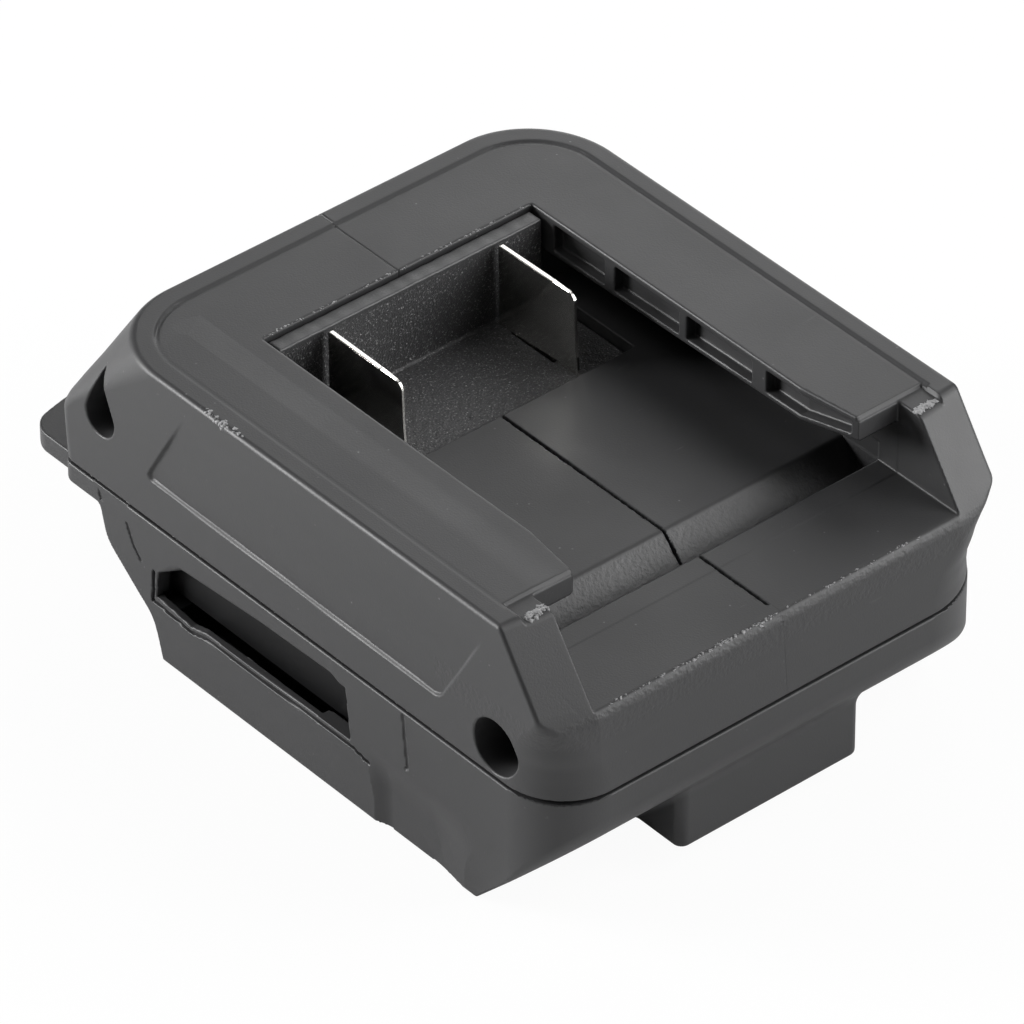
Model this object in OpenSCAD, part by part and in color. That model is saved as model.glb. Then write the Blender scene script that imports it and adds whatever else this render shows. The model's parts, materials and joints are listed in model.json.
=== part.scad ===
// Adapter between a slide-on battery and a tool of another system.
// The origin is on the surface that the adapter lies on, under the middle of its outline.
// X runs across, +Y points to the back end with the tongue, +Z points up.
// The modules draw in a working frame: y = 0 at the back edge of the battery opening,
// z = 0 at the top face. place() moves them to the origin above.

/* [Outer shell] */
// Width of the top face
top_w = 82; // [79:0.5:86]
// How far each side wall leans out from the top face to the seam
side_lean = 0.5; // [0.3:0.1:1.5]
// Height of the upper shell
upper_h = 26.2; // [25:0.2:28]
// Height of the lower shell
lower_h = 23.6; // [22:0.2:27]
// Gap between the upper and the lower shell
seam_gap = 0.6; // [0.3:0.1:1]
// Distance from the opening's back edge to the front wall
front_len = 82; // [78:1:90]
// Distance from the opening's back edge to the upright back wall
back_len = 25; // [22:0.5:30]
// Distance from the opening's back edge to the back edge of the top face
top_back_len = 17.4; // [15:0.2:19]
// Depth below the top at which the back wall turns upright
back_break = 18.8; // [16:0.2:21]
// Corner radius of the top face at the back
top_back_r = 14.5; // [8:0.5:17]
// Corner radius of the upright back wall
low_back_r = 3; // [1:0.5:6]
// Corner radius of the front wall at the seam
front_r = 12; // [6:0.5:16]
// Wall thickness of the shells
wall = 2.4; // [1.6:0.1:3]
// Radius that softens the edge of the top face
edge_r = 0.6; // [0.3:0.1:1]

/* [Front ends of the side walls] */
// Distance from the front wall back to the top of the slanted ends
end_top_set = 11.6; // [9:0.2:14]
// Distance from the front wall back to the foot of the slanted ends
end_foot_set = 3.6; // [2:0.2:6]
// Depth below the top at which the slanted ends meet the front wall
end_depth = 12; // [10:0.5:13]
// How far the inner edge of an end stands ahead of its outer edge
end_rake = 0.9; // [0:0.1:1.5]

/* [Top plate] */
// Depth of the plate below the rim that surrounds it
plate_drop = 0.3; // [0.1:0.1:0.6]
// Width of the rim beside and behind the plate
rim_w = 3.2; // [2:0.2:5]
// Depth of the small landings in front of the plate
landing_drop = 0.8; // [0.4:0.1:1.5]

/* [Battery bay] */
// Width between the rails at the back
rail_gap_back = 48.8; // [46:0.2:51]
// Width between the rails at the front
rail_gap_front = 51.4; // [48:0.2:53]
// Distance from the front wall back to the front ends of the rails
rail_set = 15; // [13.5:0.5:22]
// Depth of the rails' underside below the top, at the front
rail_t_front = 4.1; // [3.4:0.1:5]
// Depth of the rails' underside below the top, at the bend
rail_t_mid = 5.8; // [5:0.1:6.5]
// Depth of the rails' underside below the top, at the back
rail_t_back = 6.9; // [6:0.1:7.8]
// Width of the bay under the rails
bay_w = 66; // [62:0.5:70]
// Depth of the bay's floor below the top
floor_depth = 12.9; // [12:0.1:14.5]
// Distance from the front wall back to the latch groove in the floor
groove_set = 18.5; // [16:0.5:24]
// Length of the latch groove
groove_len = 7.2; // [5:0.2:9]
// Depth of the latch groove
groove_depth = 4.8; // [3:0.2:6]
// Distance from the front wall back to the bend where the rails thin out
rail_bend_set = 25; // [22:0.5:30]
// Distance from the opening's back edge to the back end of the slots under the rails
slot_back_len = 2; // [1:0.5:6]
// Depth of the upper edge of the recesses in the rails
window_top = 1.3; // [1:0.1:1.6]
// Height of the lip below the recesses in the rails
rail_lip = 1; // [0.8:0.1:1.3]
// Depth of the recesses in the rails
window_depth = 1.6; // [0.8:0.1:2.5]

/* [Terminals] */
// Distance between the two blades
blade_gap = 31; // [29:0.5:34]
// Thickness of the blades
blade_t = 0.8; // [0.6:0.1:1]
// Length of the blades that the battery enters over
blade_len = 16.4; // [13:0.2:17.4]
// Depth of the blades' top edge below the top
blade_top = 1; // [0.6:0.1:2]
// Depth of the terminal block's floor below the top
pocket_depth = 14.7; // [14:0.1:16]
// Length of the opening behind the bay floor that the block fills
pocket_len = 22; // [20:0.5:25]
// Thickness of the block's back wall
block_wall = 2.7; // [2:0.1:3.5]
// Thickness of the block's floor
block_floor = 2.6; // [2:0.1:3.2]
// Clearance around pieces that are fitted into the shells
fit_gap = 0.2; // [0.1:0.05:0.3]

/* [Screws] */
// Radius of the round holes in the left side
side_hole_r = 4.55; // [4:0.05:4.8]
// Depth of the round holes
side_hole_depth = 27; // [20:1:32]
// Distance of the front hole behind the front wall
front_hole_set = 12.5; // [12:0.1:14]
// Height of the front hole's axis above the seam
front_hole_rise = 5.1; // [4.9:0.1:5.6]
// Distance of the back hole behind the opening's back edge
back_hole_y = 16.8; // [16:0.1:17.4]
// Depth of the back hole's axis below the top
back_hole_z = 13; // [12.6:0.1:13.6]
// Shank radius of all housing screws
screw_r = 1.5; // [1.2:0.05:1.7]
// Head radius of all housing screws
screw_head_r = 3; // [2.6:0.1:3.2]

/* [Lower shell] */
// Thickness of the flange and the tongue behind the deep part
flange_t = 3.4; // [2.8:0.1:4]
// Length of the tongue behind the back wall
tongue_len = 12; // [8:0.5:16]
// Height of the front wall below the seam
front_band_h = 6.4; // [5.5:0.1:8]
// Distance from the front wall back to the foot of the slanted front
front_slope_len = 17; // [14:0.5:19]
// Width of the block under the slanted front
nose_w = 33; // [26:0.5:36]
// Distance from the opening's back edge to the deep part's upright back wall
heel_len = 16.4; // [15:0.2:19]
// Distance from the front wall back to the front end of the slide channel
channel_set = 20; // [19.5:0.5:22]
// Distance from a side wall's outer face to the slide channel in the underside
channel_side = 10.5; // [10.2:0.1:12]
// How far the channel's lips reach over the channel
lip_reach = 6; // [4:0.5:7]
// Depth of the slide channel
channel_depth = 8.4; // [8:0.1:9]
// Thickness of the channel's lips
lip_t = 3; // [2.6:0.1:3.2]

/* [Release levers] */
// Length of the finger recesses
recess_len = 42.5; // [38:0.5:44]
// Distance of the recesses' back end behind the opening's back edge
recess_back = 4; // [2:0.5:5]
// Height of the recesses
recess_h = 9; // [8:0.1:9.4]
// Depth of the recesses' upper edge below the seam
recess_drop = 3.5; // [3:0.1:4]
// Thickness of the lip below the recesses
lip_wall = 1.2; // [1:0.1:1.6]
// Travel of a lever about its pin, in degrees
lever_travel = 11; // [6:1:11]
// Height of the hooks
hook_t = 2.2; // [1.8:0.1:2.4]
// Length of the hooks
hook_len = 16; // [10:1:20]
// How far the hooks reach into the slide channel
hook_reach = 1.4; // [1:0.1:1.5]
// Radius of the lever pins
pin_r = 1.25; // [1:0.05:1.5]
// Radial running clearance of the levers on their pins
pin_clear = 0.05; // [0.03:0.01:0.1]
// Wire radius of the lever springs
spring_wire_r = 0.25; // [0.2:0.05:0.3]
// Number of curls of a lever spring
spring_curls = 6; // [4:1:7]

/* [Hidden] */
$fn = 48;
cut = 1;
thin = 0.01;
half_gap = 0.1;

outline_len = front_len + back_len + tongue_len;
y_shift = front_len - outline_len / 2;
shell_color = [0.11, 0.11, 0.115];
block_color = [0.08, 0.08, 0.085];
plate_color = [0.8, 0.8, 0.78];
steel_color = [0.45, 0.46, 0.48];

body_h = upper_h + seam_gap + lower_h;
top_hw = top_w / 2;
seam_hw = top_hw + side_lean;
front_hole_z = upper_h - front_hole_rise;
recess_top = upper_h + seam_gap + recess_drop;
end_top_len = front_len - end_top_set;
end_foot_len = front_len - end_foot_set;
rail_len = front_len - rail_set;
rail_bend_len = front_len - rail_bend_set;
groove_start = front_len - groove_set - groove_len;
front_hole_y = front_len - front_hole_set;
channel_front = front_len - channel_set;
channel_w = 2 * (seam_hw - channel_side);
channel_neck_w = channel_w - 2 * lip_reach;
bay_hw = bay_w / 2;
lower_top = -upper_h - seam_gap;
slope_share = end_depth / back_break;
floor_t = wall;
slab_under = -floor_depth - floor_t;
groove_under = slab_under - groove_depth;

tube_wall = 1.3;
boss_r = screw_r + 2.1;
joint_seat = -seam_hw + side_hole_depth;
joint_tip = 20;
joint_spots = [[-front_hole_y, -front_hole_z], [back_hole_y, -back_hole_z]];
pilot_depth = 5.6;
front_boss_x = 20;
front_boss_y = -40;
back_boss_x = 30;
back_boss_y = 11;
boss_spots = [
  [-front_boss_x, front_boss_y], [front_boss_x, front_boss_y],
  [-back_boss_x, back_boss_y], [back_boss_x, back_boss_y]
];

block_under = -pocket_depth - block_floor;
block_flange = 1.5;
retainer_top = block_under - half_gap;
retainer_t = 1.8;
retainer_y = -11;
retainer_x = [-rail_gap_back / 2 - 4.6, rail_gap_back / 2 + 4.6];
retainer_boss_r = 2.6;
small_screw_r = 0.9;
small_head_r = 1.8;
retainer_screw_len = 4.8;
head_h = 2.4;
screw_fit = 0.02;

blade_x = blade_gap / 2;
blade_back_y = -block_wall - fit_gap - 0.8;
blade_front_y = blade_back_y - blade_len + 0.4;
blade_fit = 0.05;
coin_y = blade_back_y - 11;
coin_t = 0.5;
tail_y0 = retainer_y - 4.6;
tail_y1 = retainer_y + 4.6;
tail_z = -22;

slope_top = lower_top - front_band_h;
heel_low_y = heel_len - 13;
heel_mid_y = heel_len - 10.7;
heel_mid_z = -body_h + 7.4;
heel_top_y = heel_len;
heel_turn_y = heel_len - 1.4;
heel_top_z = -body_h + 14.8;
tongue_inset = 1.6;
tongue_r = 3;
tongue_taper = 2.6;
tongue_taper_w = 8;
nose_low_z = -body_h + 3.65;
nose_front_y = -front_len + 2.9;
nose_back_y = -front_len + front_slope_len - 1;
nose_r = 2;
nose_slope = (nose_front_y + front_len) * (body_h + slope_top) / front_slope_len;
nose_top_z = slope_top - nose_slope + 0.2;
deck_low = -body_h + channel_depth;
deck_top = deck_low + wall;
bay_low = -body_h + wall;
rail_wall_x = channel_w / 2 + wall;
recess_front = recess_len - recess_back;
recess_low = -recess_top - recess_h;
bay_end = 0.6;
bay_step = recess_low - 1.4;
front_bay_len = front_len - 22;
lip_front_len = front_len - 22;
lip_ridge = 1.4;
lip_rise = 1.6;
straight_back = top_back_len - top_back_r;
seat_z = lower_top - 6.2;

lever_gap = 0.35;
lever_rest_gap = 0.3;
lever_t = 2.2;
lever_face_x = seam_hw - lip_wall - 1.9;
lever_low = recess_low - 0.1;
lever_top = -recess_top + 0.5;
lever_y0 = -recess_front - bay_end + lever_gap;
lever_y1 = recess_back + bay_end - lever_gap;
barrel_r = pin_r + 0.85;
pivot_x = rail_wall_x + 0.8;
pivot_z = deck_top + barrel_r + lever_rest_gap;
pin_fit = 0.02;
pin_y0 = -recess_front - bay_end - wall;
pin_y1 = recess_back + bay_end + wall;
hook_mid_y = -20;
hook_y0 = hook_mid_y - hook_len / 2;
hook_y1 = hook_mid_y + hook_len / 2;
hook_low = bay_low + 2.4;
hook_tip_x = channel_w / 2 - hook_reach;

spring_y = hook_mid_y;
spring_r = 1.9;
spring_z = pivot_z + barrel_r + spring_r + spring_wire_r + 0.5;
spring_stub_r = 1.3;
spring_fixed_x = pivot_x - 4.8;
spring_len = lever_face_x - lever_t - spring_fixed_x;
spring_touch = 0.05;

contact_y0 = -channel_front + fit_gap;
contact_y1 = contact_y0 + 13.8;
contact_hw = 14;
contact_low = -body_h + 2.2;
neck_w = 25;
clip_x = 9;
clip_back_y = contact_y0 + 4.8;
clip_wall = 0.6;
clip_low = contact_low + 0.8;
clip_top = deck_low - 0.6;
clip_tail_top = deck_top + 1.6;

wire_r = 0.9;
wire_sides = 8;
// Route of the lead on the right side, from the blade's tail to the clip's tail: shares of the
// way across and forwards, and heights above the run in the middle of the hollow.
run_z = (groove_under + deck_top) / 2;
tail_rise = tail_z - run_z;
tail_drop = clip_tail_top - run_z;
wire_start = [blade_x, retainer_y];
wire_end = [clip_x, clip_back_y + 1.2];
function wire_spot(share_x, share_y, rise) = [
  wire_start[0] + (wire_end[0] - wire_start[0]) * share_x,
  wire_start[1] + (wire_end[1] - wire_start[1]) * share_y, run_z + rise
];
wire_route = [
  wire_spot(0, 0, tail_rise), wire_spot(0, 0, tail_rise * 0.75),
  wire_spot(0, 0.022, tail_rise * 0.43), wire_spot(0.08, 0.1, tail_rise * 0.17),
  wire_spot(0.23, 0.22, tail_rise * 0.05), wire_spot(0.46, 0.36, 0), wire_spot(0.69, 0.49, 0),
  wire_spot(0.85, 0.62, 0), wire_spot(0.92, 0.76, 0), wire_spot(1, 0.87, tail_drop * 0.08),
  wire_spot(1, 0.96, tail_drop * 0.27), wire_spot(1, 1, tail_drop * 0.57), wire_spot(1, 1, tail_drop)
];

module place() {
  translate([0, y_shift, body_h]) children();
}

// A box given by its low and high corners.
module box(low, high) {
  translate(low) cube(high - low);
}

// Both sides at once: the children and their mirror image across the centre plane.
module both() {
  children();
  mirror([1, 0, 0]) children();
}

// A half space to the left of the centre plane, with half of the joint's width taken off.
module left_half() {
  far = 100;
  box([-far, -far - front_len, -body_h - far], [-half_gap, far, far]);
}

// Upper shell.

// Four upright corner pegs of one level of the shell: z, half width, back y, back corner
// radius, front y and front corner radius.
module level(z, hw, back_y, back_r, front_y, f_r) {
  translate([0, 0, z]) both() {
    translate([hw - back_r, back_y - back_r, 0]) cylinder(r = back_r, h = thin);
    translate([hw - f_r, front_y + f_r, 0]) cylinder(r = f_r, h = thin);
  }
}

// The raked front edge of a level: its inner part stands a little further forward.
module rake(z, front_y) {
  translate([0, 0, z]) both()
    translate([bay_hw - 1, front_y - end_rake + 0.5, 0]) cylinder(r = 0.5, h = thin);
}

// Share t of the way from the top face to the upright back wall.
function back_y_at(t) = top_back_len + (back_len - top_back_len) * t;
function back_r_at(t) = top_back_r + (low_back_r - top_back_r) * t;

front_foot_y = -end_foot_len - end_rake;
front_break_t = (back_break - end_depth) / (upper_h - end_depth);
front_break_y = front_foot_y + (-front_len - front_foot_y) * front_break_t;
front_break_r = 1 + (front_r - 1) * front_break_t;
side_r = 1;

module upper_outer() {
  hull() {
    level(-thin, top_hw - edge_r, top_back_len - edge_r, top_back_r - edge_r,
      -end_top_len + edge_r, side_r);
    level(-edge_r, top_hw, top_back_len, top_back_r, -end_top_len - edge_r * 0.7, side_r);
    rake(-edge_r, -end_top_len - edge_r * 0.7);
    level(-end_depth, top_hw, back_y_at(slope_share), back_r_at(slope_share),
      -end_foot_len, side_r);
    rake(-end_depth, -end_foot_len);
  }
  hull() {
    level(-end_depth, top_hw, back_y_at(slope_share), back_r_at(slope_share),
      -end_foot_len, side_r);
    rake(-end_depth, -end_foot_len);
    level(-back_break, seam_hw - 0.2, back_len, low_back_r, front_break_y, front_break_r);
  }
  hull() {
    level(-back_break, seam_hw - 0.2, back_len, low_back_r, front_break_y, front_break_r);
    level(-upper_h, seam_hw, back_len, low_back_r, -front_len, front_r);
  }
}

// The plate inside the rim, the small landings in front of it and the bay for the battery.
module top_plate_cut() {
  plate_hw = top_hw - rim_w;
  plate_r = top_back_r - rim_w;
  plate_back = top_back_len - rim_w;
  translate([0, 0, -plate_drop]) linear_extrude(cut + plate_drop) {
    both() translate([plate_hw - plate_r, plate_back - plate_r]) circle(plate_r);
    translate([-plate_hw + plate_r, -end_top_len - cut])
      square([2 * (plate_hw - plate_r), plate_back + end_top_len + cut]);
    translate([-plate_hw, -end_top_len - cut])
      square([2 * plate_hw, plate_back - plate_r + end_top_len + cut]);
  }
  box([-plate_hw, -end_top_len - 3, -landing_drop], [plate_hw, -rail_len, cut]);
}

// Height of the rails' underside at a distance ahead of the opening's back edge.
function under(len) =
  len < rail_bend_len ? -rail_t_back + (rail_t_back - rail_t_mid) * len / rail_bend_len
  : -rail_t_mid + (rail_t_mid - rail_t_front) * (len - rail_bend_len) / (rail_len - rail_bend_len);

module bay_cut() {
  past = front_len + cut;
  // Opening between the rails, with a lead-in at the front.
  translate([0, 0, -floor_depth]) linear_extrude(floor_depth + cut)
    polygon([
      [-rail_gap_back / 2, 0], [rail_gap_back / 2, 0], [rail_gap_back / 2, -rail_bend_len],
      [rail_gap_front / 2, -rail_len], [rail_gap_front / 2, -rail_len - cut],
      [-rail_gap_front / 2, -rail_len - cut], [-rail_gap_front / 2, -rail_len],
      [-rail_gap_back / 2, -rail_bend_len]
    ]);
  // Slots under the rails: their ceiling rises towards the front.
  rotate([90, 0, 90]) translate([0, 0, -bay_hw]) linear_extrude(bay_w)
    polygon([
      [-slot_back_len, -floor_depth], [-slot_back_len, under(slot_back_len)],
      [-rail_bend_len, under(rail_bend_len)], [-rail_len, under(rail_len)],
      [-rail_len - cut, under(rail_len)], [-rail_len - cut, -floor_depth]
    ]);
  // Open front between the side walls.
  box([-bay_hw, -past, -floor_depth], [bay_hw, -rail_len, cut]);
  // Latch groove across the floor, sloping at the back and upright at the front.
  rotate([90, 0, 90]) translate([0, 0, -bay_hw]) linear_extrude(bay_w)
    polygon([
      [-groove_start, -floor_depth], [-groove_start, -floor_depth + cut],
      [-groove_start - groove_len, -floor_depth + cut],
      [-groove_start - groove_len, -floor_depth - groove_depth],
      [-groove_start - groove_depth, -floor_depth - groove_depth]
    ]);
}

// Recesses in the inner faces of the rails, between short ribs. Each leaves a lip along
// the rail's lower edge.
window_starts = [4.9, 17.9, 33.2, 49.9];
window_ends = [15.7, 31.5, 46.8, 66.2];
module rail_windows() {
  both() rotate([90, 0, 90]) translate([0, 0, rail_gap_back / 2 - cut])
    linear_extrude(cut + window_depth)
      for (k = [0:len(window_starts) - 1])
        polygon([
          [-window_starts[k], -window_top], [-window_starts[k], under(window_starts[k]) + rail_lip],
          [-min(window_ends[k], rail_bend_len), under(min(window_ends[k], rail_bend_len)) + rail_lip],
          [-window_ends[k], under(window_ends[k]) + rail_lip], [-window_ends[k], -window_top]
        ]);
}

// Hollow of the shell from below: under the bay, in the side walls and behind the bay.
module upper_hollow() {
  low = -upper_h - cut;
  side_out = top_hw - wall;
  box([-side_out, -end_foot_len + wall, low], [side_out, -groove_start + wall, groove_under]);
  box([-side_out, -groove_start + wall - cut, low], [side_out, top_back_len - wall, slab_under]);
  both() box([bay_hw + wall, -end_top_len + wall, low], [side_out, straight_back, -wall]);
  box([-rail_gap_back / 2, wall, low], [rail_gap_back / 2, top_back_len - wall - edge_r, -wall]);
  box([-side_out + low_back_r, top_back_len - wall - cut, low],
    [side_out - low_back_r, back_len - wall, -back_break]);
}

// Well for the terminal block, through the floor of the bay.
module pocket_cut() {
  hw = rail_gap_back / 2;
  box([-hw, -pocket_len, slab_under - cut], [hw, 0, -floor_depth + cut]);
}

// Tubes for the two joining screws: a deep hole from the left, a pilot hole in the right half.
module along_x(x0, x1, spot, r) {
  translate([x0, spot[0], spot[1]]) rotate([0, 90, 0]) cylinder(r = r, h = x1 - x0);
}

module joining_tubes() {
  for (spot = joint_spots) {
    along_x(-seam_hw, joint_seat + wall, spot, side_hole_r + tube_wall);
    along_x(joint_seat, joint_tip + wall, spot, boss_r);
  }
}

module joining_holes() {
  for (spot = joint_spots) {
    along_x(-seam_hw - cut, joint_seat, spot, side_hole_r);
    along_x(joint_seat - cut, 0, spot, screw_r + fit_gap);
    along_x(-half_gap, joint_tip, spot, screw_r);
  }
}

// Bosses for the four screws that come up through the lower shell, and for the two screws
// of the terminal retainer.
module upper_bosses() {
  for (spot = boss_spots)
    translate([spot[0], spot[1], -upper_h])
      cylinder(r = boss_r, h = upper_h - floor_depth - floor_t / 2);
  for (x = retainer_x)
    translate([x, retainer_y, retainer_top + half_gap])
      cylinder(r = retainer_boss_r, h = -floor_depth - floor_t / 2 - retainer_top - half_gap);
}

module upper_pilots() {
  for (spot = boss_spots)
    translate([spot[0], spot[1], -upper_h - cut]) cylinder(r = screw_r, h = pilot_depth + cut);
  for (x = retainer_x)
    translate([x, retainer_y, retainer_top - cut])
      cylinder(r = small_screw_r, h = retainer_screw_len - retainer_t + cut);
}

module upper_housing() {
  difference() {
    union() {
      difference() {
        upper_outer();
        upper_hollow();
      }
      intersection() {
        upper_outer();
        union() {
          joining_tubes();
          upper_bosses();
        }
      }
    }
    top_plate_cut();
    bay_cut();
    rail_windows();
    pocket_cut();
    joining_holes();
    upper_pilots();
  }
}

module upper_housing_left() {
  color(shell_color) place() intersection() {
    upper_housing();
    left_half();
  }
}

module upper_housing_right() {
  color(shell_color) place() intersection() {
    upper_housing();
    mirror([1, 0, 0]) left_half();
  }
}
// Lower shell.

// An outline with rounded corners, drawn flat: half width, front and back y, corner radii.
module outline(hw, y_front, y_back, r_front, r_back) {
  translate([-hw, y_front + r_front]) square([2 * hw, y_back - r_back - y_front - r_front]);
  translate([-hw + r_front, y_front]) square([2 * (hw - r_front), y_back - y_front - r_back]);
  translate([-hw + r_back, y_front + r_front])
    square([2 * (hw - r_back), y_back - y_front - r_front]);
  for (side = [-1, 1]) {
    translate([side * (hw - r_front), y_front + r_front]) circle(r_front);
    translate([side * (hw - r_back), y_back - r_back]) circle(r_back);
  }
}

// A side view that is swept across the full width between -half and +half.
module across(half) {
  rotate([90, 0, 90]) translate([0, 0, -half]) linear_extrude(2 * half) children();
}

module lower_profile() {
  polygon([
    [-front_len, lower_top], [-front_len, slope_top], [-front_len + front_slope_len, -body_h],
    [heel_low_y, -body_h], [heel_mid_y, heel_mid_z], [heel_turn_y, heel_top_z],
    [heel_top_y, lower_top - flange_t], [back_len + tongue_len, lower_top - flange_t],
    [back_len + tongue_len, lower_top]
  ]);
}

// Tongue seen from above: its back edge is drawn in towards both corners.
module tongue_outline() {
  hw = seam_hw - tongue_inset - tongue_r;
  rear = back_len + tongue_len - tongue_r;
  hull() both() {
    translate([hw, tongue_r]) circle(tongue_r);
    translate([hw, rear - tongue_taper]) circle(tongue_r);
    translate([hw - tongue_taper_w, rear]) circle(tongue_r);
  }
}

module lower_outer() {
  intersection() {
    across(seam_hw) lower_profile();
    translate([0, 0, -body_h]) linear_extrude(body_h) {
      outline(seam_hw, -front_len, back_len, front_r, low_back_r);
      tongue_outline();
    }
  }
  // Block under the slanted front.
  translate([0, 0, nose_low_z]) linear_extrude(nose_top_z - nose_low_z)
    outline(nose_w / 2, nose_front_y, nose_back_y, nose_r, nose_r);
}

// Hollow above the ceiling of the channel.
module lower_hollow() {
  intersection() {
    across(seam_hw - wall)
      polygon([
        [-front_len + wall, lower_top + cut], [-front_len + wall, slope_top + wall * 0.4],
        [-front_len + wall + (slope_top + wall * 0.4 - deck_top), deck_top],
        [heel_mid_y + 0.8, deck_top], [heel_turn_y - wall * 0.6, heel_top_z + wall * 0.7],
        [heel_turn_y - wall * 0.6, lower_top + cut]
      ]);
    translate([0, 0, -body_h]) linear_extrude(body_h)
      outline(seam_hw - wall, -front_len + wall, back_len, front_r - wall, low_back_r);
  }
}

// Deep side bays for the levers, thinner walled where the finger recesses open.
module lever_bays() {
  both() {
    box([rail_wall_x, -recess_front - bay_end, bay_step], [seam_hw - wall, recess_back + bay_end,
      deck_top + cut]);
    box([rail_wall_x, -recess_front - bay_end, bay_step], [seam_hw - lip_wall,
      recess_back + bay_end, recess_low]);
    box([rail_wall_x, -recess_front - bay_end, bay_low], [seam_hw - lip_wall, heel_low_y - wall,
      bay_step + cut]);
    box([rail_wall_x, -front_bay_len, bay_low + 1], [seam_hw - wall,
      -recess_front - bay_end - wall, deck_top + cut]);
  }
}

// Finger recess: an opening in the side wall with a slanted back end.
module finger_openings() {
  z_top = -recess_top;
  both() rotate([90, 0, 90]) translate([0, 0, seam_hw - wall - cut]) linear_extrude(wall + 2 * cut)
    polygon([
      [-recess_front, recess_low], [-recess_front, z_top - 1.2], [-recess_front + 1.5, z_top],
      [recess_back - 5, z_top], [recess_back - 1, z_top - 4.9], [recess_back, recess_low]
    ]);
}

// Slide channel for the tool: a slot with lips, open at the back.
module channel() {
  box([-channel_w / 2, -channel_front, -body_h + lip_t], [channel_w / 2, heel_top_y + cut, deck_low]);
  box([-channel_neck_w / 2, -channel_front, -body_h - cut],
    [channel_neck_w / 2, heel_top_y + cut, -body_h + lip_t + cut]);
}

module hook_windows() {
  both() box([channel_w / 2 - cut, hook_y0 - 0.5, bay_low + 0.9], [rail_wall_x + cut, hook_y1 + 0.5,
    deck_low - 1.1]);
}

// Ribs that hold the ends of the lever pins.
module pin_ribs() {
  both() for (y = [-recess_front - bay_end - wall, recess_back + bay_end])
    box([rail_wall_x - wall, y, deck_low], [seam_hw - wall + cut, y + wall, pivot_z + 2.4]);
}

module pin_holes() {
  both() translate([pivot_x, pin_y0, pivot_z]) rotate([-90, 0, 0])
    cylinder(r = pin_r + pin_fit, h = pin_y1 - pin_y0);
}

// Posts behind the levers, each with a stub that centres its spring.
module spring_posts() {
  both() {
    box([spring_fixed_x - 2, spring_y - 3.4, deck_top - cut], [spring_fixed_x, spring_y + 3.4,
      spring_z + 2.6]);
    translate([spring_fixed_x - cut, spring_y, spring_z]) rotate([0, 90, 0])
      cylinder(r = spring_stub_r, h = cut + 0.9);
  }
}

module lower_bosses() {
  r = screw_head_r + fit_gap + tube_wall;
  intersection() {
    across(seam_hw) lower_profile();
    for (spot = boss_spots)
      translate([spot[0], spot[1], deck_low]) cylinder(r = r, h = lower_top - thin - deck_low);
  }
  for (spot = boss_spots)
    translate([spot[0], spot[1], seat_z]) cylinder(r = r, h = -upper_h - half_gap - seat_z);
}

module lower_screw_holes() {
  for (spot = boss_spots) {
    translate([spot[0], spot[1], -body_h]) cylinder(r = screw_head_r + fit_gap, h = body_h + seat_z);
    translate([spot[0], spot[1], seat_z - cut]) cylinder(r = screw_r + fit_gap, h = cut - seat_z);
  }
}

// Low ridges that centre the upper shell on the lower one.
module locating_lips() {
  side_x = top_hw - wall - fit_gap;
  front_y = -end_foot_len + wall + fit_gap;
  back_y = back_len - wall - fit_gap;
  front_hw = seam_hw - front_r;
  back_hw = top_hw - wall - low_back_r - fit_gap;
  low = lower_top - 2;
  both() {
    box([side_x - lip_ridge, -lip_front_len, low], [seam_hw - wall + thin, straight_back, lower_top - thin]);
    box([side_x - lip_ridge, -lip_front_len, low], [side_x, straight_back, lower_top + lip_rise]);
  }
  box([-front_hw, -front_len + wall - thin, low], [front_hw, front_y + lip_ridge, lower_top - thin]);
  box([-front_hw, front_y, low], [front_hw, front_y + lip_ridge, lower_top + lip_rise]);
  box([-back_hw, back_y - lip_ridge, low], [back_hw, back_y, lower_top + lip_rise]);
}

// Opening in the channel's ceiling for the neck of the contact block.
module neck_opening() {
  box([-neck_w / 2 - fit_gap, contact_y0 + 2.8 - fit_gap, deck_low - cut],
    [neck_w / 2 + fit_gap, contact_y1 - 4 + fit_gap, deck_top + cut]);
}

module lower_housing() {
  color(shell_color) place() difference() {
    union() {
      difference() {
        lower_outer();
        lower_hollow();
        lever_bays();
      }
      pin_ribs();
      spring_posts();
      lower_bosses();
      locating_lips();
    }
    channel();
    finger_openings();
    hook_windows();
    pin_holes();
    lower_screw_holes();
    neck_opening();
  }
}

// Terminals.

module terminal_block() {
  hw = rail_gap_back / 2 - fit_gap;
  color(block_color) place() difference() {
    union() {
      box([-hw, -pocket_len + fit_gap, slab_under - fit_gap], [hw, -fit_gap, -pocket_depth]);
      box([-hw - block_flange, -pocket_len - block_flange, block_under],
        [hw + block_flange, block_flange, slab_under - fit_gap]);
      box([-hw + 0.4, -block_wall - fit_gap, -pocket_depth - cut], [hw - 0.4, -fit_gap, -blade_top]);
    }
    both() box([blade_x - blade_t / 2 - blade_fit, tail_y0 - blade_fit, block_under - cut],
      [blade_x + blade_t / 2 + blade_fit, tail_y1 + blade_fit, -pocket_depth + cut]);
  }
}

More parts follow.
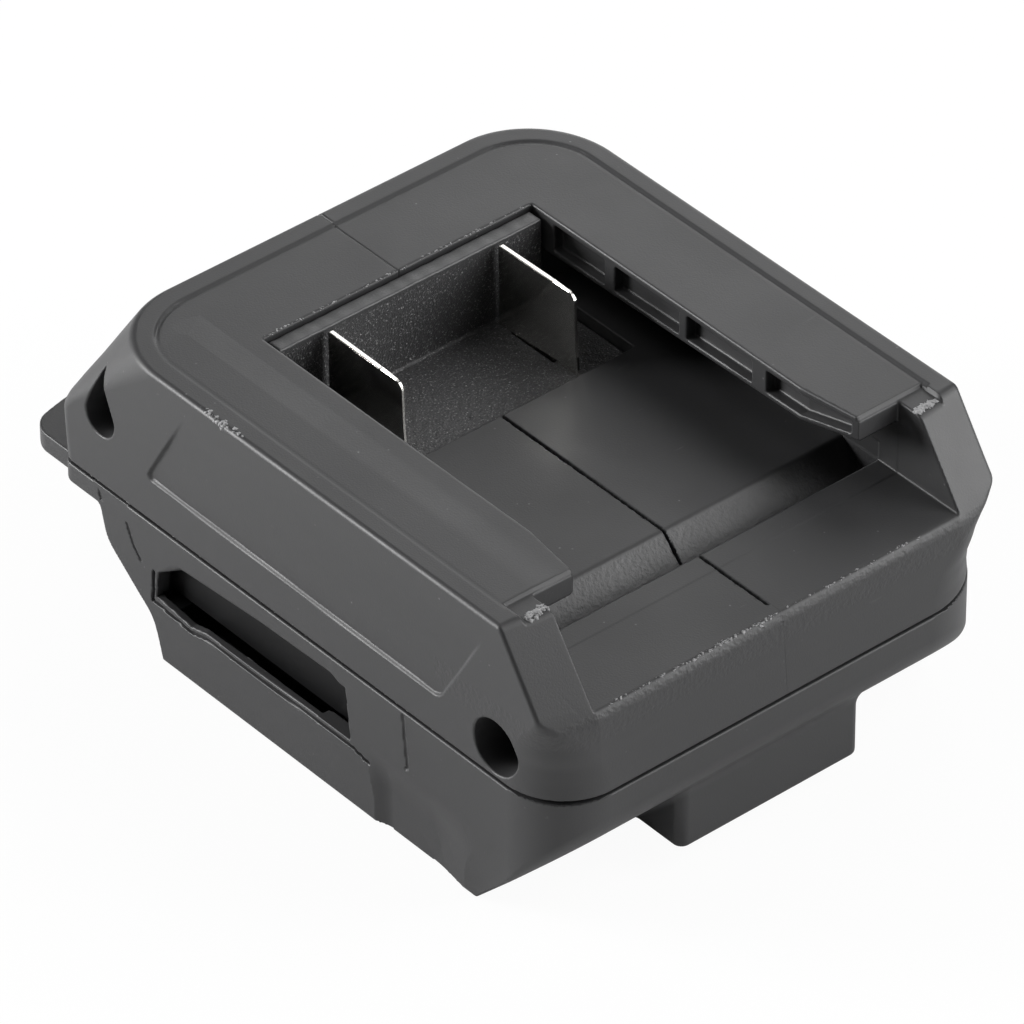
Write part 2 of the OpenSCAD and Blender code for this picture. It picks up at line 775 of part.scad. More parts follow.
// A blade seen from the side, with a thinned leading edge and a tail through the block.
module blade_side(y_from, y_to) {
  rotate([90, 0, 90]) linear_extrude(blade_t, center = true) intersection() {
    union() {
      polygon([
        [blade_back_y, -pocket_depth], [blade_back_y, -blade_top], [blade_front_y + 1.6, -blade_top],
        [blade_front_y, -blade_top - 1.6], [blade_front_y - 0.7, -pocket_depth]
      ]);
      translate([blade_front_y + 1.6, -blade_top - 1.6]) circle(1.6);
      polygon([
        [tail_y0, -pocket_depth + cut], [tail_y0, tail_z], [tail_y1, tail_z],
        [tail_y1, -pocket_depth + cut]
      ]);
    }
    translate([y_from, -body_h]) square([y_to - y_from, body_h]);
  }
}

module blade() {
  blade_side(coin_y, 0);
  intersection() {
    blade_side(-front_len, coin_y + thin);
    box([-coin_t / 2, -front_len, -body_h], [coin_t / 2, 0, 0]);
  }
}

module blade_positive() {
  color(plate_color) place() translate([blade_x, 0, 0]) blade();
}

module blade_negative() {
  color(plate_color) place() translate([-blade_x, 0, 0]) blade();
}

module terminal_retainer() {
  hw = rail_gap_back / 2 + 7.4;
  color(block_color) place() difference() {
    box([-hw, -pocket_len + 1, retainer_top - retainer_t], [hw, -1, retainer_top]);
    both() box([blade_x - blade_t / 2 - blade_fit, tail_y0 - blade_fit, retainer_top - retainer_t - cut],
      [blade_x + blade_t / 2 + blade_fit, tail_y1 + blade_fit, retainer_top + cut]);
    for (x = retainer_x)
      translate([x, retainer_y, retainer_top - retainer_t - cut])
        cylinder(r = small_screw_r + fit_gap, h = retainer_t + 2 * cut);
  }
}

// Screws.

// A screw that points up, with its head below z = 0 and a recess for the driver.
module screw(shank_r, len, head_r, head_h) {
  difference() {
    union() {
      translate([0, 0, -head_h]) cylinder(r = head_r, h = head_h);
      translate([0, 0, -head_h / 2]) cylinder(r = shank_r - screw_fit, h = len + head_h / 2);
    }
    translate([0, 0, -head_h - cut]) cylinder(r = head_r * 0.45, h = cut + head_h * 0.6);
  }
}

module joining_screws() {
  color(steel_color) place() for (spot = joint_spots)
    translate([joint_seat - half_gap, spot[0], spot[1]]) rotate([0, 90, 0])
      screw(screw_r, joint_tip - joint_seat - 2, screw_head_r, head_h);
}

module housing_screws() {
  color(steel_color) place() for (spot = boss_spots)
    translate([spot[0], spot[1], seat_z - half_gap])
      screw(screw_r, pilot_depth - upper_h - seat_z - 1, screw_head_r, head_h);
}

module retainer_screws() {
  color(steel_color) place() for (x = retainer_x)
    translate([x, retainer_y, retainer_top - retainer_t - half_gap])
      screw(small_screw_r, retainer_screw_len - 0.6, small_head_r, head_h * 0.6);
}

// Release levers, drawn for the right side.

module lever() {
  color(shell_color) place() difference() {
    union() {
      // Face behind the finger recess.
      box([lever_face_x - lever_t, lever_y0, lever_low], [lever_face_x, lever_y1, lever_top]);
      // Barrel on the pin.
      translate([pivot_x, lever_y0, pivot_z]) rotate([-90, 0, 0])
        cylinder(r = barrel_r, h = lever_y1 - lever_y0);
      box([pivot_x, lever_y0, lever_low], [lever_face_x - lever_t + thin, lever_y1, pivot_z + barrel_r]);
      // Arm and hook.
      box([rail_wall_x + lever_rest_gap, hook_y0, hook_low], [pivot_x + 1.8, hook_y1, pivot_z]);
      box([hook_tip_x, hook_y0, hook_low], [pivot_x, hook_y1, hook_low + hook_t]);
      // Stub that centres the spring.
      translate([lever_face_x - lever_t - 0.9, spring_y, spring_z]) rotate([0, 90, 0])
        cylinder(r = spring_stub_r, h = 1);
    }
    translate([pivot_x, lever_y0 - cut, pivot_z]) rotate([-90, 0, 0])
      cylinder(r = pin_r + pin_clear, h = lever_y1 - lever_y0 + 2 * cut);
  }
}

module release_lever_right() {
  lever();
}

module release_lever_left() {
  mirror([1, 0, 0]) lever();
}

module lever_pin() {
  color(steel_color) place() translate([pivot_x, pin_y0, pivot_z]) rotate([-90, 0, 0])
    cylinder(r = pin_r, h = pin_y1 - pin_y0);
}

module lever_pin_right() {
  lever_pin();
}

module lever_pin_left() {
  mirror([1, 0, 0]) lever_pin();
}

// A closed skin over rings of points: each ring joins the next, and the ends are capped.
module skin(rings) {
  m = len(rings[0]);
  n = len(rings);
  polyhedron(
    points = [for (ring = rings) for (p = ring) p],
    faces = concat(
      [for (k = [1:m - 2]) [0, k, k + 1]],
      [for (i = [0:n - 2]) for (k = [0:m - 1])
        [i * m + k, (i + 1) * m + k, (i + 1) * m + (k + 1) % m]],
      [for (i = [0:n - 2]) for (k = [0:m - 1])
        [i * m + k, (i + 1) * m + (k + 1) % m, i * m + (k + 1) % m]],
      [for (k = [1:m - 2]) [(n - 1) * m, (n - 1) * m + k + 1, (n - 1) * m + k]]
    )
  );
}

// Centre of the spring wire after a number of curls, and its rings of six points.
spring_x0 = spring_fixed_x + spring_wire_r + spring_touch;
spring_pitch = (spring_len - 2 * (spring_wire_r + spring_touch)) / spring_curls;
spring_steps = 8;
function coil_point(turns) =
  [spring_x0 + spring_pitch * turns, spring_r * cos(360 * turns), spring_r * sin(360 * turns)];
function coil_ring(turns) = [
  for (k = [0:5]) coil_point(turns)
    + spring_wire_r * [sin(60 * k), cos(60 * k) * cos(360 * turns), cos(60 * k) * sin(360 * turns)]
];
coil_gap = min([
  for (i = [0:spring_curls * spring_steps]) for (j = [i + spring_steps - 1:spring_curls * spring_steps])
    norm(coil_point(i / spring_steps) - coil_point(j / spring_steps))
]) - 2 * spring_wire_r;
echo(least_gap_between_curls_mm = coil_gap);

module lever_spring() {
  color(steel_color) place() translate([0, spring_y, spring_z])
    skin([for (i = [0:spring_curls * spring_steps]) coil_ring(i / spring_steps)]);
}

module lever_spring_right() {
  lever_spring();
}

module lever_spring_left() {
  mirror([1, 0, 0]) lever_spring();
}

// Contacts for the tool.

module contact_block() {
  color(block_color) place() difference() {
    union() {
      box([-contact_hw, contact_y0, contact_low], [contact_hw, contact_y1, deck_low - half_gap]);
      box([-neck_w / 2, contact_y0 + 2.8, deck_low - cut], [neck_w / 2, contact_y1 - 4, deck_top + 1]);
    }
    both() {
      box([clip_x - 1.5 - fit_gap, clip_back_y - fit_gap, clip_low - fit_gap],
        [clip_x + 1.5 + fit_gap, contact_y1 + cut, clip_top + fit_gap]);
      box([clip_x - 0.4 - fit_gap, clip_back_y - fit_gap, clip_top],
        [clip_x + 0.4 + fit_gap, clip_back_y + 2.4 + fit_gap, deck_top + 1 + cut]);
    }
  }
}

// Half of the fork seen from above: a leaf that bends in towards the slot.
module clip_leaf() {
  polygon([
    [0, 0], [1.5, 0], [1.5, 4], [0.9, 6.2], [1.4, 7.8], [0.8, 8], [0.3, 6.2],
    [0.9, 4], [0.9, clip_wall], [0, clip_wall]
  ]);
}

module contact_clip() {
  color(plate_color) place() translate([clip_x, clip_back_y, 0]) union() {
    translate([0, 0, clip_low]) linear_extrude(clip_top - clip_low) both() clip_leaf();
    box([-0.4, 0, clip_top - 1], [0.4, 2.4, clip_tail_top]);
  }
}

module contact_clip_positive() {
  contact_clip();
}

module contact_clip_negative() {
  mirror([1, 0, 0]) contact_clip();
}

// Leads inside the shells.

function unit(v) = v / norm(v);
function route_way(i) =
  unit(wire_route[min(i + 1, len(wire_route) - 1)] - wire_route[max(i - 1, 0)]);
function wire_ring(i) =
  let (u = unit(cross(route_way(i), [1, 0, 0])), v = cross(route_way(i), u))
  [for (k = [0:wire_sides - 1])
    wire_route[i] + wire_r * (u * cos(360 * k / wire_sides) + v * sin(360 * k / wire_sides))];

module wire_positive() {
  color([0.6, 0.08, 0.07]) place() skin([for (i = [0:len(wire_route) - 1]) wire_ring(i)]);
}

module wire_negative() {
  color([0.06, 0.06, 0.06]) place() mirror([1, 0, 0])
    skin([for (i = [0:len(wire_route) - 1]) wire_ring(i)]);
}

upper_housing_left();
upper_housing_right();
lower_housing();
terminal_block();
blade_positive();
blade_negative();
joining_screws();
housing_screws();
terminal_retainer();
retainer_screws();
release_lever_left();
release_lever_right();
lever_pin_left();
lever_pin_right();
lever_spring_left();
lever_spring_right();
contact_block();
contact_clip_positive();
contact_clip_negative();
wire_positive();
wire_negative();
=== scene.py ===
# %% [markdown]
# # A battery adapter for a cordless tool
# The real thing is an injection-moulded plastic box. A battery slides in over two plated
# blades on top, and a tool slides in underneath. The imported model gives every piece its
# size and place. This script gives the pieces their moulded edges, seams and finishes.

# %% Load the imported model
import json
import math
from functools import reduce

import bpy
import numpy as np
from mathutils import Matrix, Vector
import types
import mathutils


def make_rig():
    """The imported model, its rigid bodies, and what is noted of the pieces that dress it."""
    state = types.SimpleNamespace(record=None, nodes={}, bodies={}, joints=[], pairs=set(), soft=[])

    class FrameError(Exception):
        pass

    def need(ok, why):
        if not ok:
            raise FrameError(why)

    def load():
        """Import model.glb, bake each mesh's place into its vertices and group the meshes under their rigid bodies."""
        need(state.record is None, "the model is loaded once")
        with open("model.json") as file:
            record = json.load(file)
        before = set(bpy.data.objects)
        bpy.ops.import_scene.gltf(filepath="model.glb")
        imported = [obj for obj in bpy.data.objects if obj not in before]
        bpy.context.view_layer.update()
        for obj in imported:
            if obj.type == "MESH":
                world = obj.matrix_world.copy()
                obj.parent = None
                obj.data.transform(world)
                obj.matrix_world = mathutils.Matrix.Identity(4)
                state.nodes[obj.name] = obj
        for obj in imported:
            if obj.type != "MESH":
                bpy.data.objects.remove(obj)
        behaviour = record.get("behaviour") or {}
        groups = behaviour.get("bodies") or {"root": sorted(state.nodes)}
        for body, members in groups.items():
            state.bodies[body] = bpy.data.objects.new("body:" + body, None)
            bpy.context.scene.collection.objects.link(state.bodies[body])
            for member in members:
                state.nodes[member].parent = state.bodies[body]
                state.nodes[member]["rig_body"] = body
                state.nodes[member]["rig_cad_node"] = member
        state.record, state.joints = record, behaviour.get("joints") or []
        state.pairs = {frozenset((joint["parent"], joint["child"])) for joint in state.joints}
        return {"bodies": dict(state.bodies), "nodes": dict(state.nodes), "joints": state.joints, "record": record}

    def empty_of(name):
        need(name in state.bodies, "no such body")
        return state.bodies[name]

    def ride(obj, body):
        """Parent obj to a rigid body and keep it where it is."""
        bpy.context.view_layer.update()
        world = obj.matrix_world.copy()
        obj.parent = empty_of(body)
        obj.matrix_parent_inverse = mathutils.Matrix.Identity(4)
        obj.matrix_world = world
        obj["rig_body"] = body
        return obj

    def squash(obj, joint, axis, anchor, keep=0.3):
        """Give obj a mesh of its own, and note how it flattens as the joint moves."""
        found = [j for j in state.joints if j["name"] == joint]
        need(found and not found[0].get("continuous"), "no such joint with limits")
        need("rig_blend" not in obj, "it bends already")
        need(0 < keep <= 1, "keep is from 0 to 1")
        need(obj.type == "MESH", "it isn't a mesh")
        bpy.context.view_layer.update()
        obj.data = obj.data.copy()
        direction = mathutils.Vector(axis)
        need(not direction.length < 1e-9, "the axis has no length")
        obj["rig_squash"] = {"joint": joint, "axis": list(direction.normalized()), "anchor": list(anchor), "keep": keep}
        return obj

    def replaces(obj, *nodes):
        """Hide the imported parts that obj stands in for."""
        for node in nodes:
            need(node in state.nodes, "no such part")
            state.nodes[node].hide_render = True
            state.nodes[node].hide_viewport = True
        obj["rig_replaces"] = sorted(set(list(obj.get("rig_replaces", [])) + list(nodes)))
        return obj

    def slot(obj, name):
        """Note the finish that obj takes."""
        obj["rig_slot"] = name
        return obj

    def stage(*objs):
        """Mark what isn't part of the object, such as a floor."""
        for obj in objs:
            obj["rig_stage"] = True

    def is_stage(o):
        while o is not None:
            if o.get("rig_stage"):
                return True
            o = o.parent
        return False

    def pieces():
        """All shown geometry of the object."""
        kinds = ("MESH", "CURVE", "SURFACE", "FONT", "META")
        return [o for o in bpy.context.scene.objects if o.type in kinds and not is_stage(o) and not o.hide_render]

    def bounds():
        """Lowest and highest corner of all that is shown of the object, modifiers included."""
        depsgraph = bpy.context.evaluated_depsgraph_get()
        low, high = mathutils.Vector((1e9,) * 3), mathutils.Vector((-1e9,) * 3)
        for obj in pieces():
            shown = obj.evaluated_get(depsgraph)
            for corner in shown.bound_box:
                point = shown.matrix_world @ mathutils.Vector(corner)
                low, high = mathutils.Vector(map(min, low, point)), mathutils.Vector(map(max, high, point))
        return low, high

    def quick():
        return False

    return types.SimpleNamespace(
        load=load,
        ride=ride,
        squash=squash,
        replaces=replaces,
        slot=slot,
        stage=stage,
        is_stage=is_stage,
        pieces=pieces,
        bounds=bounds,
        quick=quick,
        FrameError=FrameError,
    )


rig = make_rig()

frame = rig.load()


def plain(bounds):
    """Two corners as plain lists of numbers."""
    return [[float(v) for v in corner] for corner in bounds]


cad_bounds = plain(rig.bounds())
print("nodes:", sorted(frame["nodes"]))
print("box of the packed model:", cad_bounds)

# %% [markdown]
# All shapes below are written in millimetres in a drawing frame of their own: x = 0 on the
# centre plane, y = 0 at the back edge of the battery opening and z = 0 at the top face.
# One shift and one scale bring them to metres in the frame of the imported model.

# %% Drawing frame
MM = 0.001
SHIFT = np.array([0.0, 22.5, 50.4])


def place(points):
    """Millimetres in the drawing frame to metres in the model's frame: add SHIFT, times MM."""
    return (np.asarray(points, float) + SHIFT) * MM


print("top face at", place([0, 0, 0]))

# %% [markdown]
# The camera stands in front of the left front corner, as in the photograph. It looks down at
# about 38 degrees from far away with a long lens, so that parallel edges stay nearly parallel.

# %% Camera
CAMERA_AT = Vector((-0.6638, -0.7859, 0.8184))
AZIMUTH, ELEVATION, ROLL = (math.radians(a) for a in (-40.25, 37.79, -0.23))
back = Vector((math.sin(AZIMUTH) * math.cos(ELEVATION),
               -math.cos(AZIMUTH) * math.cos(ELEVATION), math.sin(ELEVATION)))
level = Vector((math.cos(AZIMUTH), math.sin(AZIMUTH), 0))
upward = back.cross(level)
right = level * math.cos(ROLL) + upward * math.sin(ROLL)
upward = upward * math.cos(ROLL) - level * math.sin(ROLL)
camera = bpy.data.objects.new("camera", bpy.data.cameras.new("camera"))
bpy.context.scene.collection.objects.link(camera)
turn = Matrix((right, upward, back)).transposed()
camera.matrix_world = Matrix.Translation(CAMERA_AT) @ turn.to_4x4()
camera.data.sensor_width = 36
camera.data.lens = 326.5
camera.data.clip_end = 20
bpy.context.scene.camera = camera
bpy.context.scene.view_settings.view_transform = "Standard"
print("camera distance:", round(CAMERA_AT.length, 3), "m")

# %% [markdown]
# Each finish is a small graph of shader nodes. One helper adds a node, fills in its settings
# and joins its inputs.

# %% Node helpers
def linear(hex_colour):
    """An sRGB hex colour as linear light: v/12.92 below 0.04045, else ((v+0.055)/1.055)^2.4."""
    parts = [int(hex_colour[i:i + 2], 16) / 255 for i in (1, 3, 5)]
    return [p / 12.92 if p <= 0.04045 else ((p + 0.055) / 1.055) ** 2.4 for p in parts] + [1.0]


def add(tree, kind, settings=None, **inputs):
    """Adds a node. Settings go to the node, and each input is a value or another's output."""
    made = tree.nodes.new("ShaderNode" + kind)
    for key, value in (settings or {}).items():
        setattr(made, key, value)
    for key, value in inputs.items():
        number = key.lstrip("i")
        socket = made.inputs[int(number) if number.isdigit() else key.replace("_", " ")]
        if isinstance(value, bpy.types.NodeSocket):
            tree.links.new(value, socket)
        else:
            socket.default_value = value
    return made


def new_material(name):
    """An empty material, its nodes, and the place on the object as a value in metres."""
    made = bpy.data.materials.new(name)
    made.use_nodes = True
    made.node_tree.nodes.clear()
    return made, made.node_tree, add(made.node_tree, "TexCoord").outputs["Object"]


def surfaced(made, shader):
    """The material, with the shader joined to its surface output."""
    out = made.node_tree.nodes.new("ShaderNodeOutputMaterial")
    made.node_tree.links.new(shader.outputs[0], out.inputs[0])
    return made


def ramp(tree, value, low, high, start=0.0, end=1.0):
    """A value stretched from low..high to start..end and held there."""
    return add(tree, "MapRange", i0=value, i1=low, i2=high, i3=start, i4=end).outputs[0]


def times(tree, a, b):
    """The product of two values."""
    return add(tree, "Math", {"operation": "MULTIPLY"}, i0=a, i1=b).outputs[0]


def noise(tree, spot, scale, detail=2, **more):
    """Soft noise between 0 and 1."""
    return add(tree, "TexNoise", Vector=spot, Scale=scale, Detail=detail, **more).outputs["Fac"]


def tinted(tree, share, first, second):
    """A colour between two, the first where the share is 0. A hex colour is made linear."""
    ends = [linear(end) if isinstance(end, str) else end for end in (first, second)]
    return add(tree, "Mix", {"data_type": "RGBA"}, i0=share, i6=ends[0], i7=ends[1]).outputs[2]


GRAIN = 1 / MM
print("node helpers ready")

# %% [markdown]
# The shells are black ABS or nylon, moulded in a lightly eroded steel mould. The eye sees a
# dark satin grey: a black base under a broad sheen, a fine grain of about a quarter of a
# millimetre, slow cloudy changes where the melt flowed, and dust and scuffs from handling. The
# ramp of the latch groove has a coarser grain than the rest.

# %% Moulded plastics
RAMP_TOP_Z, RAMP_FOOT_Z, RAMP_Y = (37.4, 36.9), (32.4, 33.2), (-33.6, -33.9)


def groove_ramp(tree, spot):
    """1 on the ramp of the latch groove, else 0. Each limit is a pair of places in mm between
    which the value fades in."""
    axes = add(tree, "SeparateXYZ", Vector=spot).outputs
    fades = [ramp(tree, axes[axis], limit[0] * MM, limit[1] * MM)
             for axis, limit in (("Z", RAMP_TOP_Z), ("Z", RAMP_FOOT_Z), ("Y", RAMP_Y))]
    return times(tree, times(tree, fades[0], fades[1]), fades[2])


def moulded_plastic(name, colours, dust_colour, roughness, grain_mm, grain_depth, dust, shine=0.5):
    """Black plastic: cloudy base colour, fine grain as bump, pale dust specks and thin scuffs."""
    made, tree, spot = new_material(name)
    cloud = noise(tree, spot, 60, 4, Roughness=0.6)
    fine = noise(tree, spot, GRAIN / grain_mm)
    speck = add(tree, "TexVoronoi", Vector=spot, Scale=GRAIN / 2.6).outputs["Distance"]
    patch = noise(tree, spot, 130)
    dotted = times(tree, ramp(tree, speck, 0.035, 0.075, 1.0, 0.0), ramp(tree, patch, 0.5, 0.62))
    stretched = add(tree, "Mapping", Vector=spot, Scale=(120, 900, 900), Rotation=(0.3, 0.2, 0.7))
    streak = noise(tree, stretched.outputs[0], 1, 3)
    scuff = times(tree, ramp(tree, streak, 0.72, 0.84), ramp(tree, patch, 0.42, 0.7))
    wear = add(tree, "Math", {"operation": "MAXIMUM"}, i0=dotted, i1=scuff).outputs[0]
    base = tinted(tree, times(tree, wear, dust), tinted(tree, cloud, *colours), dust_colour)
    gloss = ramp(tree, cloud, 0.3, 0.7, roughness - 0.04, roughness + 0.05)
    coarse = noise(tree, spot, GRAIN / 0.7, 3)
    depth = ramp(tree, groove_ramp(tree, spot), 0.0, 1.0, 0.0, 0.14 * MM)
    bump = add(tree, "Bump", Height=fine, Strength=grain_depth, Distance=0.05 * MM).outputs[0]
    bump = add(tree, "Bump", Height=coarse, Strength=0.8, Distance=depth, Normal=bump).outputs[0]
    return surfaced(made, add(tree, "BsdfPrincipled", Base_Color=base, Roughness=gloss, IOR=1.5,
                              Specular_IOR_Level=shine, Normal=bump))


shell_plastic = moulded_plastic("black_abs_satin", ("#303031", "#353536"), "#9c9c9c", 0.47, 0.28,
                                0.35, 0.28)
# The levers' near-black base and low shine are their own black acetal, and partly painted shade of the finger recess
# they sit in.
lever_plastic = moulded_plastic("black_acetal_painted_shade", ("#0c0c0d", "#101011"), "#5a5a5a", 0.45, 0.3,
                                0.2, 0.25, 0.2)
torn_plastic = moulded_plastic("torn_black_abs", ("#7a7a7b", "#a2a2a3"), "#c0c0c0", 0.5, 0.2, 0.3,
                               0.3)
print("plastics:", shell_plastic.name, lever_plastic.name, torn_plastic.name)
# %% [markdown]
# The terminal block is black nylon filled with glass fibre, from a coarsely eroded mould. Its
# skin is a field of shiny grains about a third of a millimetre across, with pale specks painted
# into its colour as glints.

# %% Glass-filled nylon
SMOOTH_TOP_Z = (49.0, 48.4)


def filled_nylon(name):
    """Black plastic with fine sparkling grain, smooth along the top of its back wall: bump from
    small Voronoi cells and noise, and pale specks painted into the colour as glints."""
    made, tree, spot = new_material(name)
    height = add(tree, "SeparateXYZ", Vector=spot).outputs["Z"]
    rough_part = ramp(tree, height, SMOOTH_TOP_Z[0] * MM, SMOOTH_TOP_Z[1] * MM)
    cells = add(tree, "TexVoronoi", Vector=spot, Scale=GRAIN / 0.34).outputs["Distance"]
    rough = noise(tree, spot, GRAIN / 0.3, 3, Roughness=0.7)
    # painted glints: pale specks mixed into the base colour, none on the smooth top of the wall
    speck = times(tree, ramp(tree, rough, 0.58, 0.7), rough_part)
    bump = add(tree, "Bump", Height=times(tree, cells, rough), Distance=0.2 * MM,
               Strength=ramp(tree, rough_part, 0.0, 1.0, 0.15, 0.8)).outputs[0]
    return surfaced(made, add(tree, "BsdfPrincipled", Roughness=0.4, IOR=1.52, Normal=bump,
                              Base_Color=tinted(tree, speck, "#434344", "#b4b4b4")))


block_plastic = filled_nylon("black_glass_filled_nylon")
print("block:", block_plastic.name)

# %% [markdown]
# The blades are brass strip plated with bright tin or nickel and then stamped. Flat faces
# reflect softly with fine drawing lines along the strip, and the sheared edges shine.

# %% Metals
def metal(name, colours, roughness, line_mm, line_depth):
    """A metal with fine lines along Y: noise that is stretched along the strip, used as bump."""
    made, tree, spot = new_material(name)
    drawn = add(tree, "Mapping", Vector=spot, Scale=(GRAIN / line_mm, 40, GRAIN / line_mm))
    lines = noise(tree, drawn.outputs[0], 1, 3)
    stain = noise(tree, spot, 300, 3)
    gloss = ramp(tree, stain, 0.3, 0.7, roughness, roughness + 0.08)
    bump = add(tree, "Bump", Height=lines, Strength=line_depth, Distance=0.02 * MM).outputs[0]
    return surfaced(made, add(tree, "BsdfPrincipled", Base_Color=tinted(tree, stain, *colours),
                              Roughness=gloss, Metallic=1.0, Normal=bump))


plated_brass = metal("bright_plated_brass", ("#dedcd6", "#f1f0ec"), 0.1, 0.12, 0.2)
zinc_steel = metal("zinc_plated_steel", ("#a9abb0", "#bcbec2"), 0.3, 0.2, 0.2)
drawn_steel = metal("bright_drawn_steel", ("#9b9c9f", "#adaeb0"), 0.28, 0.15, 0.3)


def insulation(name, colours):
    """Silicone insulation: soft sheen, faintly uneven colour."""
    made, tree, spot = new_material(name)
    tone = tinted(tree, noise(tree, spot, 400), *colours)
    return surfaced(made, add(tree, "BsdfPrincipled", Base_Color=tone, Roughness=0.5))


red_silicone = insulation("red_silicone", ("#8e1512", "#a51d18"))
black_silicone = insulation("black_silicone", ("#151515", "#1d1d1d"))
print("metals and leads ready")

# %% [markdown]
# The levers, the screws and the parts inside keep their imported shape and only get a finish.

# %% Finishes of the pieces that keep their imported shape
FINISHES = [
    (block_plastic, "terminal_retainer contact_block"),
    (zinc_steel, "joining_screws housing_screws retainer_screws"),
    (lever_plastic, "release_lever_left release_lever_right"),
    (drawn_steel, "lever_pin_left lever_pin_right"),
    (plated_brass, "contact_clip_positive contact_clip_negative"),
    (red_silicone, "wire_positive"),
    (black_silicone, "wire_negative"),
]
for finish, nodes in FINISHES:
    for node in nodes.split():
        slots = frame["nodes"][node].data.materials
        slots.clear()
        slots.append(finish)
print("finished as packed:", [nodes for finish, nodes in FINISHES])

# %% [markdown]
# A moulded shell is one skin, with a small radius on every edge and in every inner corner.
# Here each shell is a distance field: a function that says how far a point is from the surface,
# negative inside. Fields join, cut and round with a line of arithmetic each, on whole arrays.

# %% Distance fields
def both(a, b, r):
    """Where a and b overlap, with an outer edge of radius r: the distance to a quarter round,
    min(max(a, b), -r) + length of (a + r, b + r), each held above 0."""
    return np.minimum(np.maximum(a, b), -r) + np.hypot(np.maximum(a + r, 0), np.maximum(b + r, 0))


def without(a, b, r):
    """a less b, with the new edge rounded by the radius r."""
    return both(a, -b, r)


def joined(a, b, r):
    """a and b together with a fillet of radius r in the inner corner."""
    return np.maximum(np.minimum(a, b), r) - np.hypot(np.maximum(r - a, 0), np.maximum(r - b, 0))


def overlap(*fields):
    """Where all fields overlap, with sharp edges: the largest of them."""
    return reduce(np.maximum, fields)


def union(*fields):
    """All fields together, with sharp inner corners: the least of them."""
    return reduce(np.minimum, fields)


def between(v, low, high):
    """A slab from low to high: the larger of low - v and v - high."""
    return np.maximum(low - v, v - high)


def boxes(x, y, z, rows):
    """Sharp boxes together. A row holds one box: x from and to, y from and to, z from and to."""
    return union(*(overlap(between(x, *row[:2]), between(y, *row[2:4]), between(z, *row[4:]))
                   for row in rows))


def beyond(y, z, a, b):
    """Distance to the left of the line from a to b in the y-z plane."""
    dy, dz = b[0] - a[0], b[1] - a[1]
    return ((z - a[1]) * dy - (y - a[0]) * dz) / math.hypot(dy, dz)


def from_line(y, z, corners):
    """Distance to a line of straight stretches in the y-z plane: the least over its stretches."""
    best = None
    for (ay, az), (by, bz) in zip(corners[:-1], corners[1:]):
        dy, dz = by - ay, bz - az
        t = np.clip(((y - ay) * dy + (z - az) * dz) / (dy * dy + dz * dz), 0, 1)
        d = np.hypot(y - ay - t * dy, z - az - t * dz)
        best = d if best is None else np.minimum(best, d)
    return best


def plan_outline(x, y, half, front, rear, front_r, rear_r):
    """Distance to a rectangle seen from above, with its own radius at the front and back."""
    side = np.abs(x) - half
    return np.maximum(both(side, y - rear, rear_r), both(side, front - y, front_r))


def step_up(v):
    """0 below 0, 1 above 1, smooth between: 3v^2 - 2v^3."""
    v = np.clip(v, 0, 1)
    return v * v * (3 - 2 * v)


print("edge of two slabs:", float(both(np.array(0.0), np.array(-5.0), 0.5)))

# %% [markdown]
# To turn a field into a mesh, space is split into small cubes. Every cube that the surface
# passes through gets one point, and points of neighbouring cubes are joined to quads. The
# points then slide along the field's slope onto the true surface. Flat faces are thinned, and
# the slope gives every corner of a face its normal, so that rounded edges shade smoothly.

# %% From field to mesh
CUBE = [(i, j, k) for i in (0, 1) for j in (0, 1) for k in (0, 1)]
MOST_TRIANGLES = 190000
FLAT_COSINE = 0.99997
LONG_FROM, LONG_TO = 2, 6


def sampled(shape, low, high, step):
    """The field at the corners of cubes of one size, worked out slab by slab along X."""
    axes = [np.arange(a, b + step, step) for a, b in zip(low, high)]
    y, z = axes[1][None, :, None], axes[2][None, None, :]
    slabs = [np.broadcast_to(shape(part[:, None, None], y, z), (len(part), y.size, z.size))
             .astype(np.float32) for part in np.array_split(axes[0], max(1, len(axes[0]) // 24))]
    return np.concatenate(slabs)


def surface_points(field, low, step):
    """One point per cube that the surface passes: the mean of the crossings on its edges."""
    inside = field < 0
    n = np.array(field.shape) - 1
    corners = sum(inside[i:n[0] + i, j:n[1] + j, k:n[2] + k].astype(np.uint8) for i, j, k in CUBE)
    cube = np.argwhere((corners > 0) & (corners < 8))
    total, hits = np.zeros((len(cube), 3)), np.zeros(len(cube))
    for axis in range(3):
        b, c = [a for a in range(3) if a != axis]
        for db, dc in ((0, 0), (0, 1), (1, 0), (1, 1)):
            start = cube.copy()
            start[:, b] += db
            start[:, c] += dc
            end = start.copy()
            end[:, axis] += 1
            f0, f1 = field[tuple(start.T)], field[tuple(end.T)]
            crosses = (f0 < 0) != (f1 < 0)
            along = np.where(crosses, f0 / np.where(crosses, f0 - f1, 1), 0)
            spot = start.astype(float)
            spot[:, axis] += along
            total[crosses] += spot[crosses]
            hits += crosses
    number = np.full(n, -1, np.int32)
    number[tuple(cube.T)] = np.arange(len(cube))
    return np.array(low) + step * total / hits[:, None], number, inside


